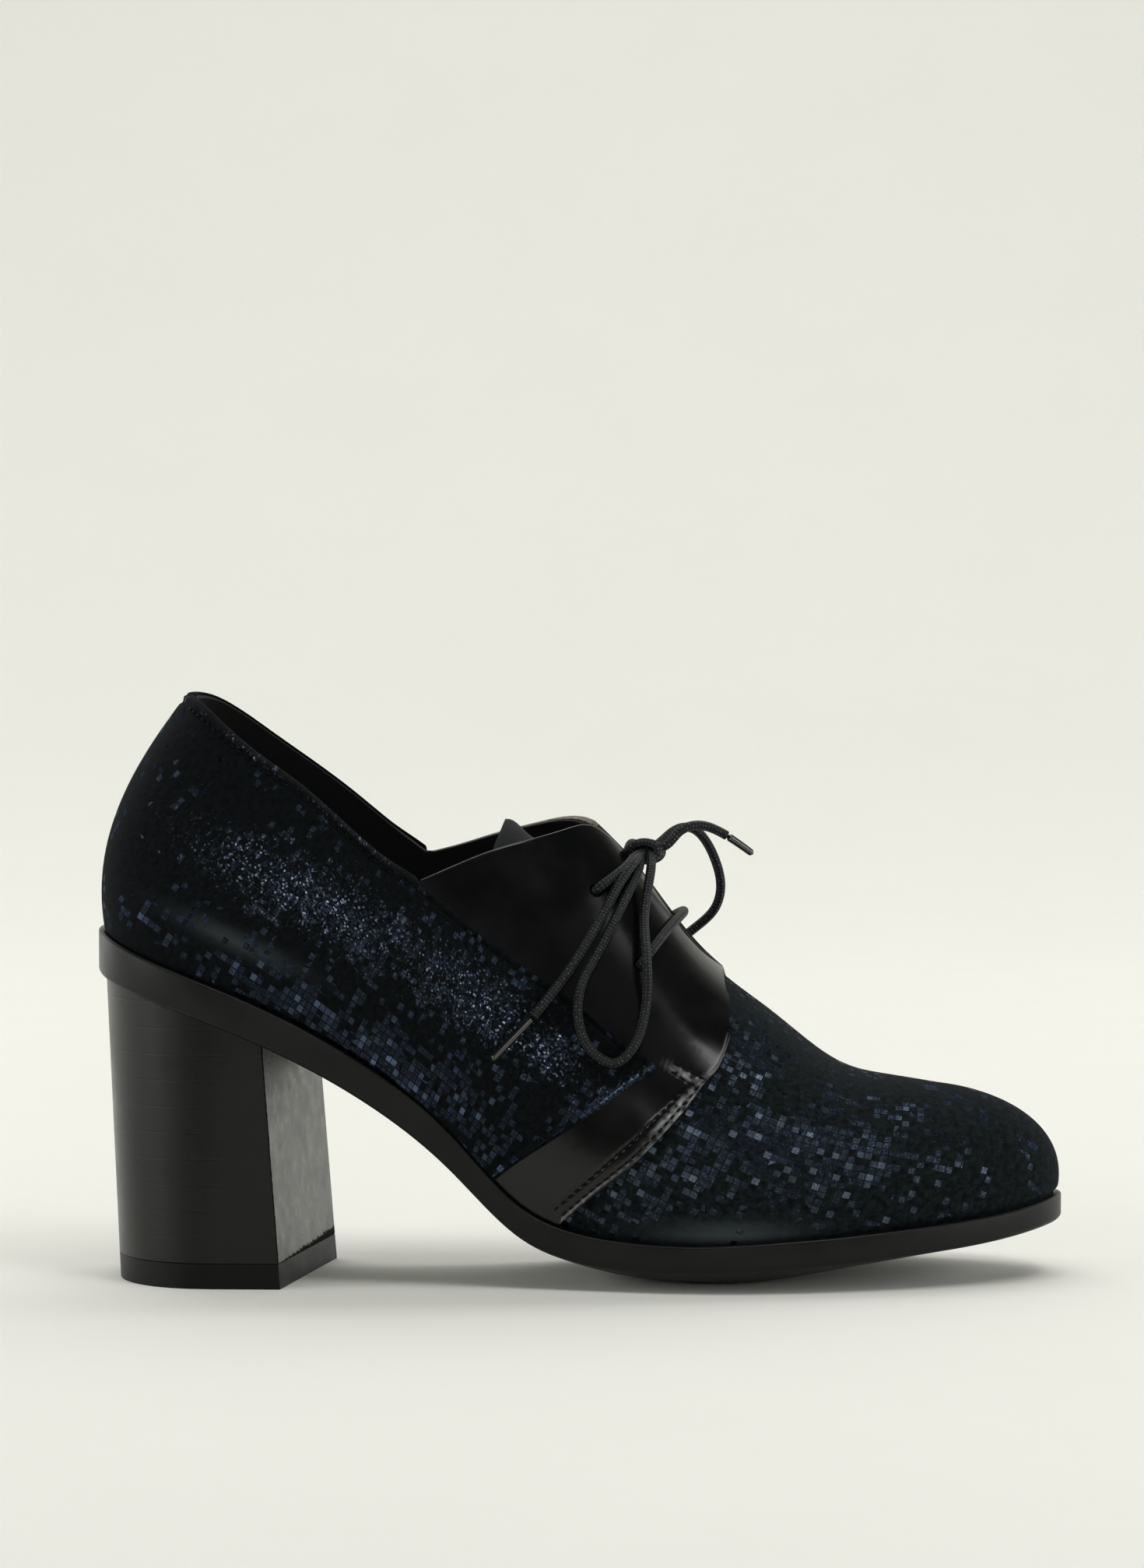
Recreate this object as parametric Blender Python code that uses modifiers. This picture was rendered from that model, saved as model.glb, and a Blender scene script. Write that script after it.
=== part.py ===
"""A heeled derby shoe for the right foot, standing empty on its heel and forefoot.

The toe points along +X, the outer (lateral) side faces -Y and the floor is Z = 0. The tables hold
millimetres, measured from the back of the outsole. place() turns them into metres, with the origin
on the floor under the middle of the shoe.

Both the sole and the last are worked out around one closed loop of stations. Station 0 is the back
of the heel. The count goes forward along the lateral side to the toe tip and back along the medial
side, so that every curve closes smoothly at both ends.
"""
import math
from functools import lru_cache

import bmesh
import bpy
import numpy as np
from mathutils import Vector

MM = 0.001
GAP = 0.3
OVERLAY_GAP = 0.45
WELD = 0.05

# Thickness of each layer, in millimetres.
UPPER_WALL = 1.5
FACING_THICK = 0.9
QUARTER_THICK = 1.0
TONGUE_THICK = 1.4
INSOLE_THICK = 1.8
TOP_PIECE_THICK = 6.0
LACE_DIAMETER = 2.3
AGLET_DIAMETER = 2.0

# The outsole's outline from above, a row for each station from heel to toe.
# lateral and medial are the edge's place across; spine is where the fan of that station starts.
OUTLINE_COLUMNS = "station along lateral medial spine"
OUTLINE_ROWS = (
    ("heel_back", -0.7, 0.0, 0.0, 24.0),
    ("heel_corner", 3.0, -16.5, 15.0, 25.5),
    ("heel_round", 13.0, -26.5, 23.6, 29.0),
    ("heel_side", 28.0, -31.6, 27.0, 36.0),
    ("heel_breast", 48.0, -33.4, 27.4, 49.0),
    ("shank_back", 68.0, -32.4, 25.2, 68.0),
    ("shank", 86.0, -31.4, 22.6, 86.0),
    ("waist", 101.0, -31.5, 22.0, 101.0),
    ("waist_front", 115.0, -33.4, 25.5, 115.0),
    ("ball_back", 129.0, -36.2, 31.2, 129.0),
    ("ball", 145.0, -38.7, 36.8, 145.0),
    ("ball_front", 161.0, -38.3, 39.6, 161.0),
    ("toe_back", 177.0, -35.1, 38.9, 175.5),
    ("toe_box", 193.0, -30.1, 36.3, 187.0),
    ("toe_side", 208.0, -23.3, 31.4, 195.5),
    ("toe_round", 220.5, -15.0, 25.0, 201.0),
    ("toe_corner", 229.0, -5.4, 16.2, 204.0),
    ("toe_tip", 232.0, 5.5, 5.5, 205.0),
)

# Height of the outsole's underside along the shoe, on its middle line and at its two edges.
# Below the floor means that the tread is flat there.
SOLE_COLUMNS = "along middle lateral medial thick"
SOLE_ROWS = (
    (-0.7, 73.3, 73.3, 73.3, 10.6),
    (13.0, 68.4, 68.4, 68.4, 9.6),
    (28.0, 63.2, 63.2, 63.2, 9.2),
    (48.0, 54.6, 54.7, 54.9, 9.0),
    (68.0, 42.4, 43.0, 44.0, 8.9),
    (86.0, 26.8, 28.2, 30.0, 8.8),
    (101.0, 12.2, 13.4, 15.0, 7.6),
    (115.0, 4.4, 7.2, 7.6, 6.9),
    (129.0, 0.6, 5.5, 4.4, 6.5),
    (145.0, -0.9, 5.1, 3.2, 6.4),
    (161.0, -0.5, 5.9, 3.4, 6.4),
    (177.0, 2.2, 6.9, 5.2, 6.4),
    (193.0, 5.2, 8.3, 7.3, 6.3),
    (208.0, 8.2, 9.7, 9.1, 6.2),
    (220.5, 10.9, 11.4, 11.2, 6.1),
    (232.0, 13.6, 13.6, 13.6, 6.1),
)
TREAD_BOW = 2.2
SOLE_CORNER = 0.6

# The last, a row for each station. Each section is one Bezier curve from the feather edge up to a
# top point on the crest. wall and shoulder place its handles as shares of the height, crown as a
# share of the width and flare in millimetres beyond the feather edge. lean is the crest's slope.
LAST_COLUMNS = ("station inset top_along top_lateral top_medial top_height"
                " wall shoulder crown flare_lateral flare_medial lean")
LAST_ROWS = (
    ("heel_back", 3.0, 30.0, -1.0, -1.0, 149.5, 0.39, 0.685, 0.625, 5.0, 5.0, 0.0),
    ("heel_corner", 3.0, 31.5, -8.0, 5.5, 149.5, 0.39, 0.685, 0.605, 4.9, 4.9, 0.0),
    ("heel_round", 3.1, 35.5, -14.0, 10.5, 149.5, 0.39, 0.70, 0.56, 4.7, 4.7, 0.0),
    ("heel_side", 3.2, 43.0, -17.5, 13.5, 149.5, 0.39, 0.72, 0.46, 4.4, 4.6, 0.0),
    ("heel_breast", 3.3, 55.0, -18.0, 14.0, 149.5, 0.40, 0.74, 0.37, 4.3, 5.0, 0.0),
    ("shank_back", 3.4, 71.5, -14.5, 12.0, 149.0, 0.42, 0.79, 0.45, 4.6, 6.0, 0.0),
    ("shank", 3.4, 87.5, -6.0, 7.0, 143.5, 0.44, 0.87, 0.53, 5.0, 8.0, 0.0),
    ("waist", 3.4, 101.5, 0.5, 4.0, 131.5, 0.45, 0.94, 0.57, 5.2, 9.0, 0.0),
    ("waist_front", 3.4, 115.0, 2.8, 2.8, 114.5, 0.46, 0.98, 0.50, 5.2, 7.5, 0.0),
    ("ball_back", 3.0, 129.0, 3.2, 3.2, 97.8, 0.48, 1.0, 0.50, 5.0, 5.5, 0.0),
    ("ball", 2.4, 145.0, 3.8, 3.8, 77.2, 0.51, 1.0, 0.54, 4.4, 4.2, 0.0),
    ("ball_front", 2.0, 161.0, 4.3, 4.3, 64.0, 0.55, 1.0, 0.58, 3.6, 3.6, -0.1),
    ("toe_back", 1.9, 176.0, 4.6, 4.6, 52.3, 0.61, 1.0, 0.57, 3.3, 3.3, -0.17),
    ("toe_box", 1.8, 187.0, 4.8, 4.8, 48.4, 0.62, 1.0, 0.58, 3.3, 3.3, -0.17),
    ("toe_side", 1.8, 194.5, 5.0, 5.0, 47.2, 0.62, 1.0, 0.60, 3.2, 3.2, -0.16),
    ("toe_round", 1.4, 199.5, 5.2, 5.2, 46.4, 0.61, 1.0, 0.57, 3.1, 3.1, -0.15),
    ("toe_corner", 1.1, 202.5, 5.4, 5.4, 46.0, 0.60, 1.0, 0.565, 3.0, 3.0, -0.14),
    ("toe_tip", 1.0, 203.5, 5.5, 5.5, 45.8, 0.60, 1.0, 0.56, 3.4, 3.4, -0.14),
)

# Height of the upper's top edge along the shoe: the collar down to the notch, then the facing.
COLLAR_COLUMNS = "along lateral medial"
COLLAR_ROWS = (
    (20.0, 140.2, 140.2),
    (24.0, 139.0, 139.6),
    (30.0, 134.6, 136.6),
    (40.0, 126.6, 129.4),
    (50.0, 119.6, 122.2),
    (60.0, 111.0, 114.6),
    (69.0, 103.2, 107.2),
    (78.0, 97.0, 100.4),
)
FACING_TOP_COLUMNS = "along lateral medial"
FACING_TOP_ROWS = (
    (78.0, 97.0, 100.4),
    (86.0, 100.4, 102.6),
    (95.0, 103.8, 105.5),
    (104.0, 106.1, 107.9),
    (112.0, 108.0, 109.6),
    (117.5, 108.3, 108.9),
    (122.0, 105.2, 105.8),
    (126.0, 101.6, 102.2),
)
NOTCH_ALONG = 78.0

# Half width of the slit between the two facings, on each side of the crest.
SLIT_COLUMNS = "along lateral medial"
SLIT_ROWS = (
    (112.0, 4.5, 4.0),
    (122.0, 4.0, 3.2),
    (131.0, 4.2, 3.2),
    (138.0, 6.0, 4.2),
    (143.0, 6.0, 4.0),
    (147.5, 2.8, 2.2),
    (150.0, 0.0, 0.0),
)
THROAT_ALONG = 150.0

# The facing's front edge over the vamp, upper and lower run, meeting at its nose.
FACING_NOSE = (151.8, 60.0)
FACING_UPPER_ROWS = ((148.0, 76.0), (149.3, 72.6), (150.5, 68.4), (151.5, 64.2), FACING_NOSE)
FACING_LOWER_ROWS = ((112.0, 15.5), (120.6, 23.2), (130.0, 30.8), (137.0, 38.2), (143.0, 45.2),
                     (147.0, 50.2), (150.6, 55.6), FACING_NOSE)
# Its back edge, hidden by the quarter.
FACING_BACK_ROWS = ((78.0, 95.5), (86.0, 66.0), (93.0, 31.0))

# The quarter's front edges: the diagonal down from the notch, and the return to the sole.
QUARTER_NOSE_ALONG = 134.6
QUARTER_UPPER_ROWS = ((78.0, 97.0), (90.0, 86.8), (108.3, 73.2), (121.0, 63.8), (130.5, 56.4),
                      (133.6, 54.4), (134.6, 53.0))
QUARTER_LOWER_ROWS = ((96.0, 25.6), (100.0, 28.8), (107.0, 33.6), (116.0, 39.4), (124.0, 45.0),
                      (131.0, 50.0), (133.8, 51.6), (134.6, 52.4))

# The heel's plan at the floor and under the seat, and its front face, the breast.
HEEL_COLUMNS = "level back half_width middle round_depth"
HEEL_ROWS = (
    (0.0, 4.8, 27.8, -4.5, 25.0),
    (68.0, 1.4, 27.2, -2.9, 33.0),
)
HEEL_ROUNDNESS = 2.2
HEEL_STRAIGHT = 0.3
BREAST_NEAR = (45.4, -32.0)
BREAST_SKEW = 0.174
BREAST_LEAN = 0.084

# The tongue: drop below the upper's inside, half width and backward lean of its sides.
TONGUE_COLUMNS = "along drop half_width lean"
TONGUE_ROWS = (
    (99.0, 23.0, 7.0, 0.42),
    (100.5, 21.6, 10.5, 0.40),
    (104.5, 20.4, 13.5, 0.34),
    (111.0, 15.4, 15.5, 0.24),
    (118.0, 10.2, 16.0, 0.12),
    (126.0, 4.6, 16.0, 0.04),
    (134.0, 0.6, 15.5, 0.0),
    (144.0, 0.0, 14.5, 0.0),
    (158.0, 0.0, 13.0, 0.0),
)
TONGUE_CLEARANCE = 0.5
TONGUE_STEPS = 14
TONGUE_ACROSS = 9

# The lace, as hand-placed points along, across and up. Points beside the shoe are moved out
# sideways until the cord lies on the leather.
KNOT_CENTRE = (131.4, 1.0, 102.2)
KNOT_RADII = (4.6, 4.4, 3.1)
LOWER_BAR = ((131.0, -16.0, 78.4), (134.8, -12.0, 82.6), (138.8, -4.5, 86.2), (140.4, 3.6, 87.4),
             (138.8, 11.0, 86.2), (134.8, 18.0, 82.6), (131.0, 21.0, 78.4))
UPPER_BAR_LATERAL = ((120.2, -12.0, 95.4), (123.0, -10.0, 97.6), (125.8, -5.6, 100.6),
                     (126.6, -3.0, 102.6))
UPPER_BAR_MEDIAL = ((120.2, 18.0, 95.4), (123.0, 16.0, 97.6), (125.8, 9.6, 100.6),
                    (126.6, 5.6, 102.6))
LOOP_LATERAL = ((130.2, -5.8, 100.0), (127.6, -12.0, 93.4), (123.8, -16.0, 85.8),
                (119.5, -18.0, 77.9), (116.7, -20.0, 71.8), (116.1, -20.0, 66.5),
                (117.6, -20.0, 60.2), (120.9, -20.0, 56.1), (125.0, -20.0, 54.6),
                (128.5, -20.0, 57.1), (131.0, -20.0, 61.9), (132.2, -20.0, 68.1),
                (132.4, -26.6, 76.9), (131.8, -21.4, 83.4), (131.6, -14.4, 90.0),
                (132.9, -5.6, 99.8))
END_LATERAL = ((128.8, -10.6, 100.2), (126.0, -14.6, 96.4), (123.8, -17.4, 92.4),
               (119.4, -16.0, 84.6), (114.2, -18.0, 76.3), (108.8, -18.0, 69.3), (105.6, -18.0, 65.4))
AGLET_LATERAL = ((105.4, -18.0, 65.2), (100.6, -18.0, 60.2), (95.8, -18.0, 55.2))
LOOP_MEDIAL = ((135.4, 4.8, 104.6), (138.6, 7.6, 107.0), (142.2, 10.5, 107.2), (145.6, 13.5, 104.0),
               (148.2, 16.0, 98.4), (149.3, 18.0, 92.4), (147.8, 20.0, 86.8), (143.6, 22.0, 82.4),
               (137.0, 22.0, 77.0), (130.0, 22.0, 71.0), (124.0, 22.0, 69.0), (120.8, 22.0, 73.0),
               (122.0, 20.0, 82.0), (125.8, 17.0, 90.6), (128.8, 11.4, 97.0), (130.4, 7.6, 100.0))
END_MEDIAL = ((136.2, 1.4, 103.6), (139.2, 2.6, 106.6), (142.6, 4.2, 108.2), (146.4, 6.0, 107.8),
              (150.8, 7.8, 105.6))
AGLET_MEDIAL = ((151.1, 7.9, 105.4), (154.2, 9.2, 103.2), (157.2, 10.4, 100.9))
CORD_CLEARANCE = 0.7
ROUTE_STEP = 4.4
# Sideways share of the normal beyond which a cord point lies beside the shoe, not over its crest.
STEEP = 0.55
REST_ROUNDS = 3
NEAREST_SAMPLES = 80
# How near its diagonal edge a cord already lies on the quarter.
QUARTER_MARGIN = 5.0
KNOT_SEGMENTS = 14
KNOT_RINGS = 8

# Colours are linear red, green and blue.
BLACK_RUBBER = (0.012, 0.012, 0.013)
STACKED_BLACK = (0.016, 0.015, 0.015)
NAVY_SUEDE = (0.010, 0.011, 0.017)
POLISHED_BLACK = (0.011, 0.010, 0.010)
DARK_LINING = (0.020, 0.020, 0.022)
WAXED_BLACK = (0.014, 0.014, 0.015)


def table(columns, rows):
    """Turn a table's rows into one array for each named column."""
    return {name: np.array([row[place] for row in rows])
            for place, name in enumerate(columns.split())}


OUTLINE = table(OUTLINE_COLUMNS, OUTLINE_ROWS)
SOLE = table(SOLE_COLUMNS, SOLE_ROWS)
LAST = table(LAST_COLUMNS, LAST_ROWS)
COLLAR = table(COLLAR_COLUMNS, COLLAR_ROWS)
FACING_TOP = table(FACING_TOP_COLUMNS, FACING_TOP_ROWS)
SLIT = table(SLIT_COLUMNS, SLIT_ROWS)
HEEL = table(HEEL_COLUMNS, HEEL_ROWS)
TONGUE = table(TONGUE_COLUMNS, TONGUE_ROWS)

TOE = len(OUTLINE_ROWS) - 1
LOOP = 2 * TOE


def cubic(knots, steps, values, bends, near, far, place):
    """Value of one cubic piece between two knots of a spline."""
    step = steps[near]
    ahead = (place - knots[near]) / step
    behind = 1.0 - ahead
    curve = (behind ** 3 - behind) * bends[near] + (ahead ** 3 - ahead) * bends[far]
    return behind * values[near] + ahead * values[far] + curve * step * step / 6.0


def loop_spline(values):
    """A smooth closed curve through one value for each station of the loop."""
    count = len(values)
    knots = np.arange(count, dtype=float)
    steps = np.ones(count)
    system = 4.0 * np.eye(count) + np.roll(np.eye(count), 1, 0) + np.roll(np.eye(count), -1, 0)
    changes = np.roll(values, -1) - 2.0 * values + np.roll(values, 1)
    bends = np.linalg.solve(system, 6.0 * changes)

    def value(station):
        station = station % count
        near = int(station)
        return cubic(knots, steps, values, bends, near, (near + 1) % count, station)
    return value


def open_spline(knots, values):
    """A smooth curve through a table's values, straight beyond its ends."""
    knots = np.asarray(knots, dtype=float)
    values = np.asarray(values, dtype=float)
    count = len(knots)
    steps = np.diff(knots)
    slopes = np.diff(values) / steps
    system = np.eye(count)
    changes = np.zeros(count)
    for knot in range(1, count - 1):
        system[knot, knot - 1] = steps[knot - 1]
        system[knot, knot] = 2.0 * (steps[knot - 1] + steps[knot])
        system[knot, knot + 1] = steps[knot]
        changes[knot] = 6.0 * (slopes[knot] - slopes[knot - 1])
    bends = np.linalg.solve(system, changes)

    def value(place):
        place = min(max(place, knots[0]), knots[-1])
        near = min(int(np.searchsorted(knots, place, side="right")) - 1, count - 2)
        return cubic(knots, steps, values, bends, near, near + 1, place)
    return value


def around(lateral, medial):
    """Join a lateral and a medial column into one closed loop of stations."""
    return loop_spline(np.concatenate((lateral, medial[-2:0:-1])))


def is_lateral(station):
    """Whether a loop station lies on the lateral side."""
    return station % LOOP <= TOE


def side_of(station):
    """Name of the table column for a loop station's side."""
    return "lateral" if is_lateral(station) else "medial"


EDGE_ALONG = around(OUTLINE["along"], OUTLINE["along"])
EDGE_ACROSS = around(OUTLINE["lateral"], OUTLINE["medial"])
SPINE_ALONG = around(OUTLINE["spine"], OUTLINE["spine"])
LAST_CURVES = {name: around(LAST[name], LAST[name])
               for name in ("inset", "top_along", "top_height", "wall", "shoulder", "crown", "lean")}
LAST_CURVES["top_across"] = around(LAST["top_lateral"], LAST["top_medial"])
LAST_CURVES["flare"] = around(LAST["flare_lateral"], LAST["flare_medial"])
SOLE_CURVES = {name: open_spline(SOLE["along"], SOLE[name])
               for name in ("middle", "lateral", "medial", "thick")}

SAMPLES_PER_STATION = 24
SIDE_SAMPLES = np.linspace(0.0, TOE, TOE * SAMPLES_PER_STATION + 1)
SAMPLED_ALONG = np.array([EDGE_ALONG(station) for station in SIDE_SAMPLES])
SAMPLED_LATERAL = np.array([EDGE_ACROSS(station) for station in SIDE_SAMPLES])
SAMPLED_MEDIAL = np.array([EDGE_ACROSS(LOOP - station) for station in SIDE_SAMPLES])
MIDDLE_ALONG = float(SAMPLED_ALONG.min() + SAMPLED_ALONG.max()) / 2.0
MIDDLE_ACROSS = float(SAMPLED_LATERAL.min() + SAMPLED_MEDIAL.max()) / 2.0


def place(point):
    """World position in metres of a table point in millimetres."""
    along, across, up = point
    return Vector(((along - MIDDLE_ALONG) * MM, (across - MIDDLE_ACROSS) * MM, up * MM))


def edges_across(along):
    """Places across of the sole's lateral and medial edge."""
    lateral = float(np.interp(along, SAMPLED_ALONG, SAMPLED_LATERAL))
    medial = float(np.interp(along, SAMPLED_ALONG, SAMPLED_MEDIAL))
    return lateral, medial


def sole_underside(along, across):
    """Height of the outsole's underside, flat on the floor under the ball."""
    lateral, medial = edges_across(along)
    middle = (lateral + medial) / 2.0
    half = max((medial - lateral) / 2.0, 1.0)
    reach = min(abs(across - middle) / half, 1.0)
    side = "lateral" if across < middle else "medial"
    low = SOLE_CURVES["middle"](along)
    high = SOLE_CURVES[side](along)
    return max(low + (high - low) * reach ** TREAD_BOW, 0.0)


def sole_top(along, across):
    """Height of the outsole's upper face."""
    return sole_underside(along, across) + SOLE_CURVES["thick"](along)


def fan_point(station, inset):
    """A place on the sole inset millimetres in from its edge, toward the spine."""
    edge = np.array((EDGE_ALONG(station), EDGE_ACROSS(station)))
    spine = spine_point(station)
    inward = spine - edge
    return edge + inward * (inset / np.linalg.norm(inward))


def spine_point(station):
    """Where the fan of a station starts on the middle line."""
    along = SPINE_ALONG(station)
    return np.array((along, sum(edges_across(along)) / 2.0))


class Section:
    """One section of the last, a Bezier curve from the feather edge up to the crest."""

    def __init__(self, station):
        value = {name: curve(station) for name, curve in LAST_CURVES.items()}
        foot = fan_point(station, value["inset"])
        top = np.array((value["top_along"], value["top_across"]))
        low = sole_top(*foot) + GAP
        rise = value["top_height"] - low
        width = np.linalg.norm(foot - top)
        outward = (foot - top) / width
        crown = outward * value["crown"] * width
        shoulder = low + value["shoulder"] * rise + value["lean"] * crown[0]
        self.handles = np.array((
            (*foot, low),
            (*(foot + outward * value["flare"]), low + value["wall"] * rise),
            (*(top + crown), shoulder),
            (*top, value["top_height"]),
        ))

    def point(self, share):
        """The section's point at a share of the way from feather edge to crest."""
        rest = 1.0 - share
        weights = (rest ** 3, 3.0 * rest * rest * share, 3.0 * rest * share * share, share ** 3)
        return np.dot(weights, self.handles)


@lru_cache(maxsize=None)
def section(station):
    """The last's section at a loop station, worked out once."""
    return Section(station)


# Small steps for measuring the surface's normal, and the shares between which edges are looked for.
STATION_STEP = 0.02
SHARE_STEP = 0.01
SHARE_LIMIT = 0.985
LOWEST_TOP_SHARE = 0.3


def surface(station, share, lift=0.0):
    """A point of the upper's outer surface, lifted along its outward normal."""
    point = section(station).point(share)
    if lift == 0.0:
        return point
    middle = min(max(share, SHARE_STEP), SHARE_LIMIT)
    ahead = section(station + STATION_STEP).point(middle)
    behind = section(station - STATION_STEP).point(middle)
    above = section(station).point(middle + SHARE_STEP)
    below = section(station).point(middle - SHARE_STEP)
    normal = np.cross(ahead - behind, above - below)
    return point + normal * (lift / np.linalg.norm(normal))


def crossing(test, low, high, rounds=30):
    """Where a rising test turns positive between two ends, or the far end where it never does."""
    if test(high) <= 0.0:
        return high
    for _ in range(rounds):
        middle = (low + high) / 2.0
        if test(middle) > 0.0:
            high = middle
        else:
            low = middle
    return (low + high) / 2.0


def station_at(along, side, share=0.5):
    """The loop station whose section passes a place along the shoe at a share of its height."""
    ahead = crossing(lambda place: surface(place, share)[0] - along, 0.0, float(TOE))
    return ahead if side == "lateral" else LOOP - ahead


def share_at_height(station, height):
    """Share of a section at which it reaches a height."""
    return crossing(lambda share: surface(station, share)[2] - height, 0.0, 1.0)


COLLAR_EDGE = {side: open_spline(COLLAR["along"], COLLAR[side]) for side in ("lateral", "medial")}
FACING_EDGE = {side: open_spline(FACING_TOP["along"], FACING_TOP[side])
               for side in ("lateral", "medial")}
SLIT_EDGE = {side: open_spline(SLIT["along"], SLIT[side]) for side in ("lateral", "medial")}


def top_edge_height(along, side):
    """Height of the collar or facing edge at a place along the shoe."""
    if along < NOTCH_ALONG:
        return COLLAR_EDGE[side](along)
    return FACING_EDGE[side](along)


def top_share(station):
    """Share of a section at which the upper ends: the collar, the facing or the slit."""
    side = side_of(station)
    crest = surface(station, 1.0)
    if crest[0] > THROAT_ALONG - GAP:
        return 1.0

    def above_edge(share):
        point = surface(station, share)
        return point[2] - top_edge_height(point[0], side)

    def inside_slit(share):
        point = surface(station, share)
        return SLIT_EDGE[side](point[0]) - abs(crest[1] - point[1])

    share = crossing(above_edge, LOWEST_TOP_SHARE, 1.0)
    if crest[0] > SLIT["along"][0]:
        share = min(share, crossing(inside_slit, LOWEST_TOP_SHARE, 1.0))
    return share


def make_material(name, colour, roughness, coat=0.0):
    """A Principled material with one colour."""
    material = bpy.data.materials.new(name)
    material.use_nodes = True
    shader = material.node_tree.nodes["Principled BSDF"]
    shader.inputs["Base Color"].default_value = (*colour, 1.0)
    shader.inputs["Roughness"].default_value = roughness
    shader.inputs["Coat Weight"].default_value = coat
    material.diffuse_color = (*colour, 1.0)
    return material


def add_object(name, data, material, collection):
    """Put mesh or curve data into the scene under a node's name."""
    data.materials.append(material)
    item = bpy.data.objects.new(name, data)
    collection.objects.link(item)
    return item


def grid_mesh(name, columns):
    """A mesh from columns of points, made from a grid and welded where columns meet."""
    rows = len(columns[0])
    shape = bmesh.new()
    bmesh.ops.create_grid(shape, x_segments=len(columns) - 1, y_segments=rows - 1, size=0.5)
    for corner in shape.verts:
        column = round((corner.co.x + 0.5) * (len(columns) - 1))
        row = round((corner.co.y + 0.5) * (rows - 1))
        corner.co = place(columns[column][row])
    bmesh.ops.remove_doubles(shape, verts=shape.verts, dist=WELD * MM)
    mesh = bpy.data.meshes.new(name)
    shape.to_mesh(mesh)
    shape.free()
    mesh.shade_smooth()
    return mesh


def solidify(item, thickness, outward):
    """Give an open sheet its wall, outward or inward from the sheet."""
    wall = item.modifiers.new("wall", "SOLIDIFY")
    wall.thickness = thickness * MM
    wall.offset = 1.0 if outward else -1.0
    wall.use_even_offset = True
    wall.use_quality_normals = True


def loop_stations(per_station, extra=()):
    """Stations once around the loop, matching on both sides, with the first repeated at the end."""
    side = sorted({round(step / per_station, 6) for step in range(TOE * per_station + 1)} | set(extra))
    return side + [LOOP - station for station in side[-2::-1]]


# Rings of the sole's and the insole's mesh, as shares from the middle line to the rim.
OUTSOLE_SHARES = (0.0, 0.3, 0.55, 0.78)
INSOLE_SHARES = (0.0, 0.6)


def build_outsole(collection, material):
    """The outsole with its tread, arch, toe spring and heel seat, closed along its middle line."""
    columns = []
    for station in loop_stations(2):
        edge = fan_point(station, 0.0)
        corner = fan_point(station, SOLE_CORNER)
        spine = spine_point(station)
        inner = [spine + (corner - spine) * share for share in OUTSOLE_SHARES]
        low = sole_underside(*edge)
        high = low + SOLE_CURVES["thick"](edge[0])
        column = [(*spot, sole_underside(*spot)) for spot in inner]
        column.append((*corner, sole_underside(*corner)))
        column.append((*edge, low + SOLE_CORNER))
        column.append((*edge, high - SOLE_CORNER))
        column.append((*corner, sole_top(*corner)))
        column.extend((*spot, sole_top(*spot)) for spot in reversed(inner))
        columns.append(column)
    return add_object("outsole", grid_mesh("outsole", columns), material, collection)


def build_insole(collection, material):
    """The insole on the outsole, inside the upper's wall."""
    columns = []
    for station in loop_stations(2):
        rim = fan_point(station, LAST_CURVES["inset"](station) + UPPER_WALL + 2.0 * GAP)
        spine = spine_point(station)
        inner = [spine + (rim - spine) * share for share in INSOLE_SHARES] + [rim]
        low = [(*spot, sole_top(*spot) + GAP) for spot in inner]
        high = [(along, across, up + INSOLE_THICK) for along, across, up in reversed(low)]
        columns.append(low + high)
    return add_object("insole", grid_mesh("insole", columns), material, collection)


def heel_level(name, level):
    """A heel size at a height, straight between the floor and the seat."""
    return float(np.interp(level, HEEL["level"], HEEL[name]))


def breast_along(across, level):
    """Where the heel's flat front face stands."""
    return BREAST_NEAR[0] + BREAST_SKEW * (across - BREAST_NEAR[1]) - BREAST_LEAN * level


def heel_rim(turn, level):
    """A point of the heel's back and sides: turn runs from -1 (lateral corner) to 1 (medial)."""
    half = heel_level("half_width", level)
    middle = heel_level("middle", level)
    back = heel_level("back", level)
    depth = heel_level("round_depth", level)
    side = math.copysign(1.0, turn)
    if abs(turn) > 1.0 - HEEL_STRAIGHT:
        across = middle + side * half
        share = (abs(turn) - (1.0 - HEEL_STRAIGHT)) / HEEL_STRAIGHT
        start = back + depth
        return start + (breast_along(across, level) - start) * share, across
    angle = abs(turn) / (1.0 - HEEL_STRAIGHT) * math.pi / 2.0
    power = 2.0 / HEEL_ROUNDNESS
    return (back + depth * (1.0 - math.cos(angle) ** power),
            middle + side * half * math.sin(angle) ** power)


def heel_plan(spot, level):
    """A point around the heel: spot 0 to 1 is the back and sides, 1 to 2 the breast."""
    if spot <= 1.0:
        return np.array(heel_rim(2.0 * spot - 1.0, level))
    medial = np.array(heel_rim(1.0, level))
    lateral = np.array(heel_rim(-1.0, level))
    return medial + (lateral - medial) * (spot - 1.0)


HEEL_BACK_STEPS = 20
HEEL_BREAST_STEPS = 6
SEAT_SHARES = (0.35, 0.7, 1.0)
SEAT_ROUNDS = 6
HEEL_SPOTS = ([1.0 - step / HEEL_BACK_STEPS for step in range(HEEL_BACK_STEPS)]
              + [2.0 - step / HEEL_BREAST_STEPS for step in range(HEEL_BREAST_STEPS + 1)])


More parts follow.
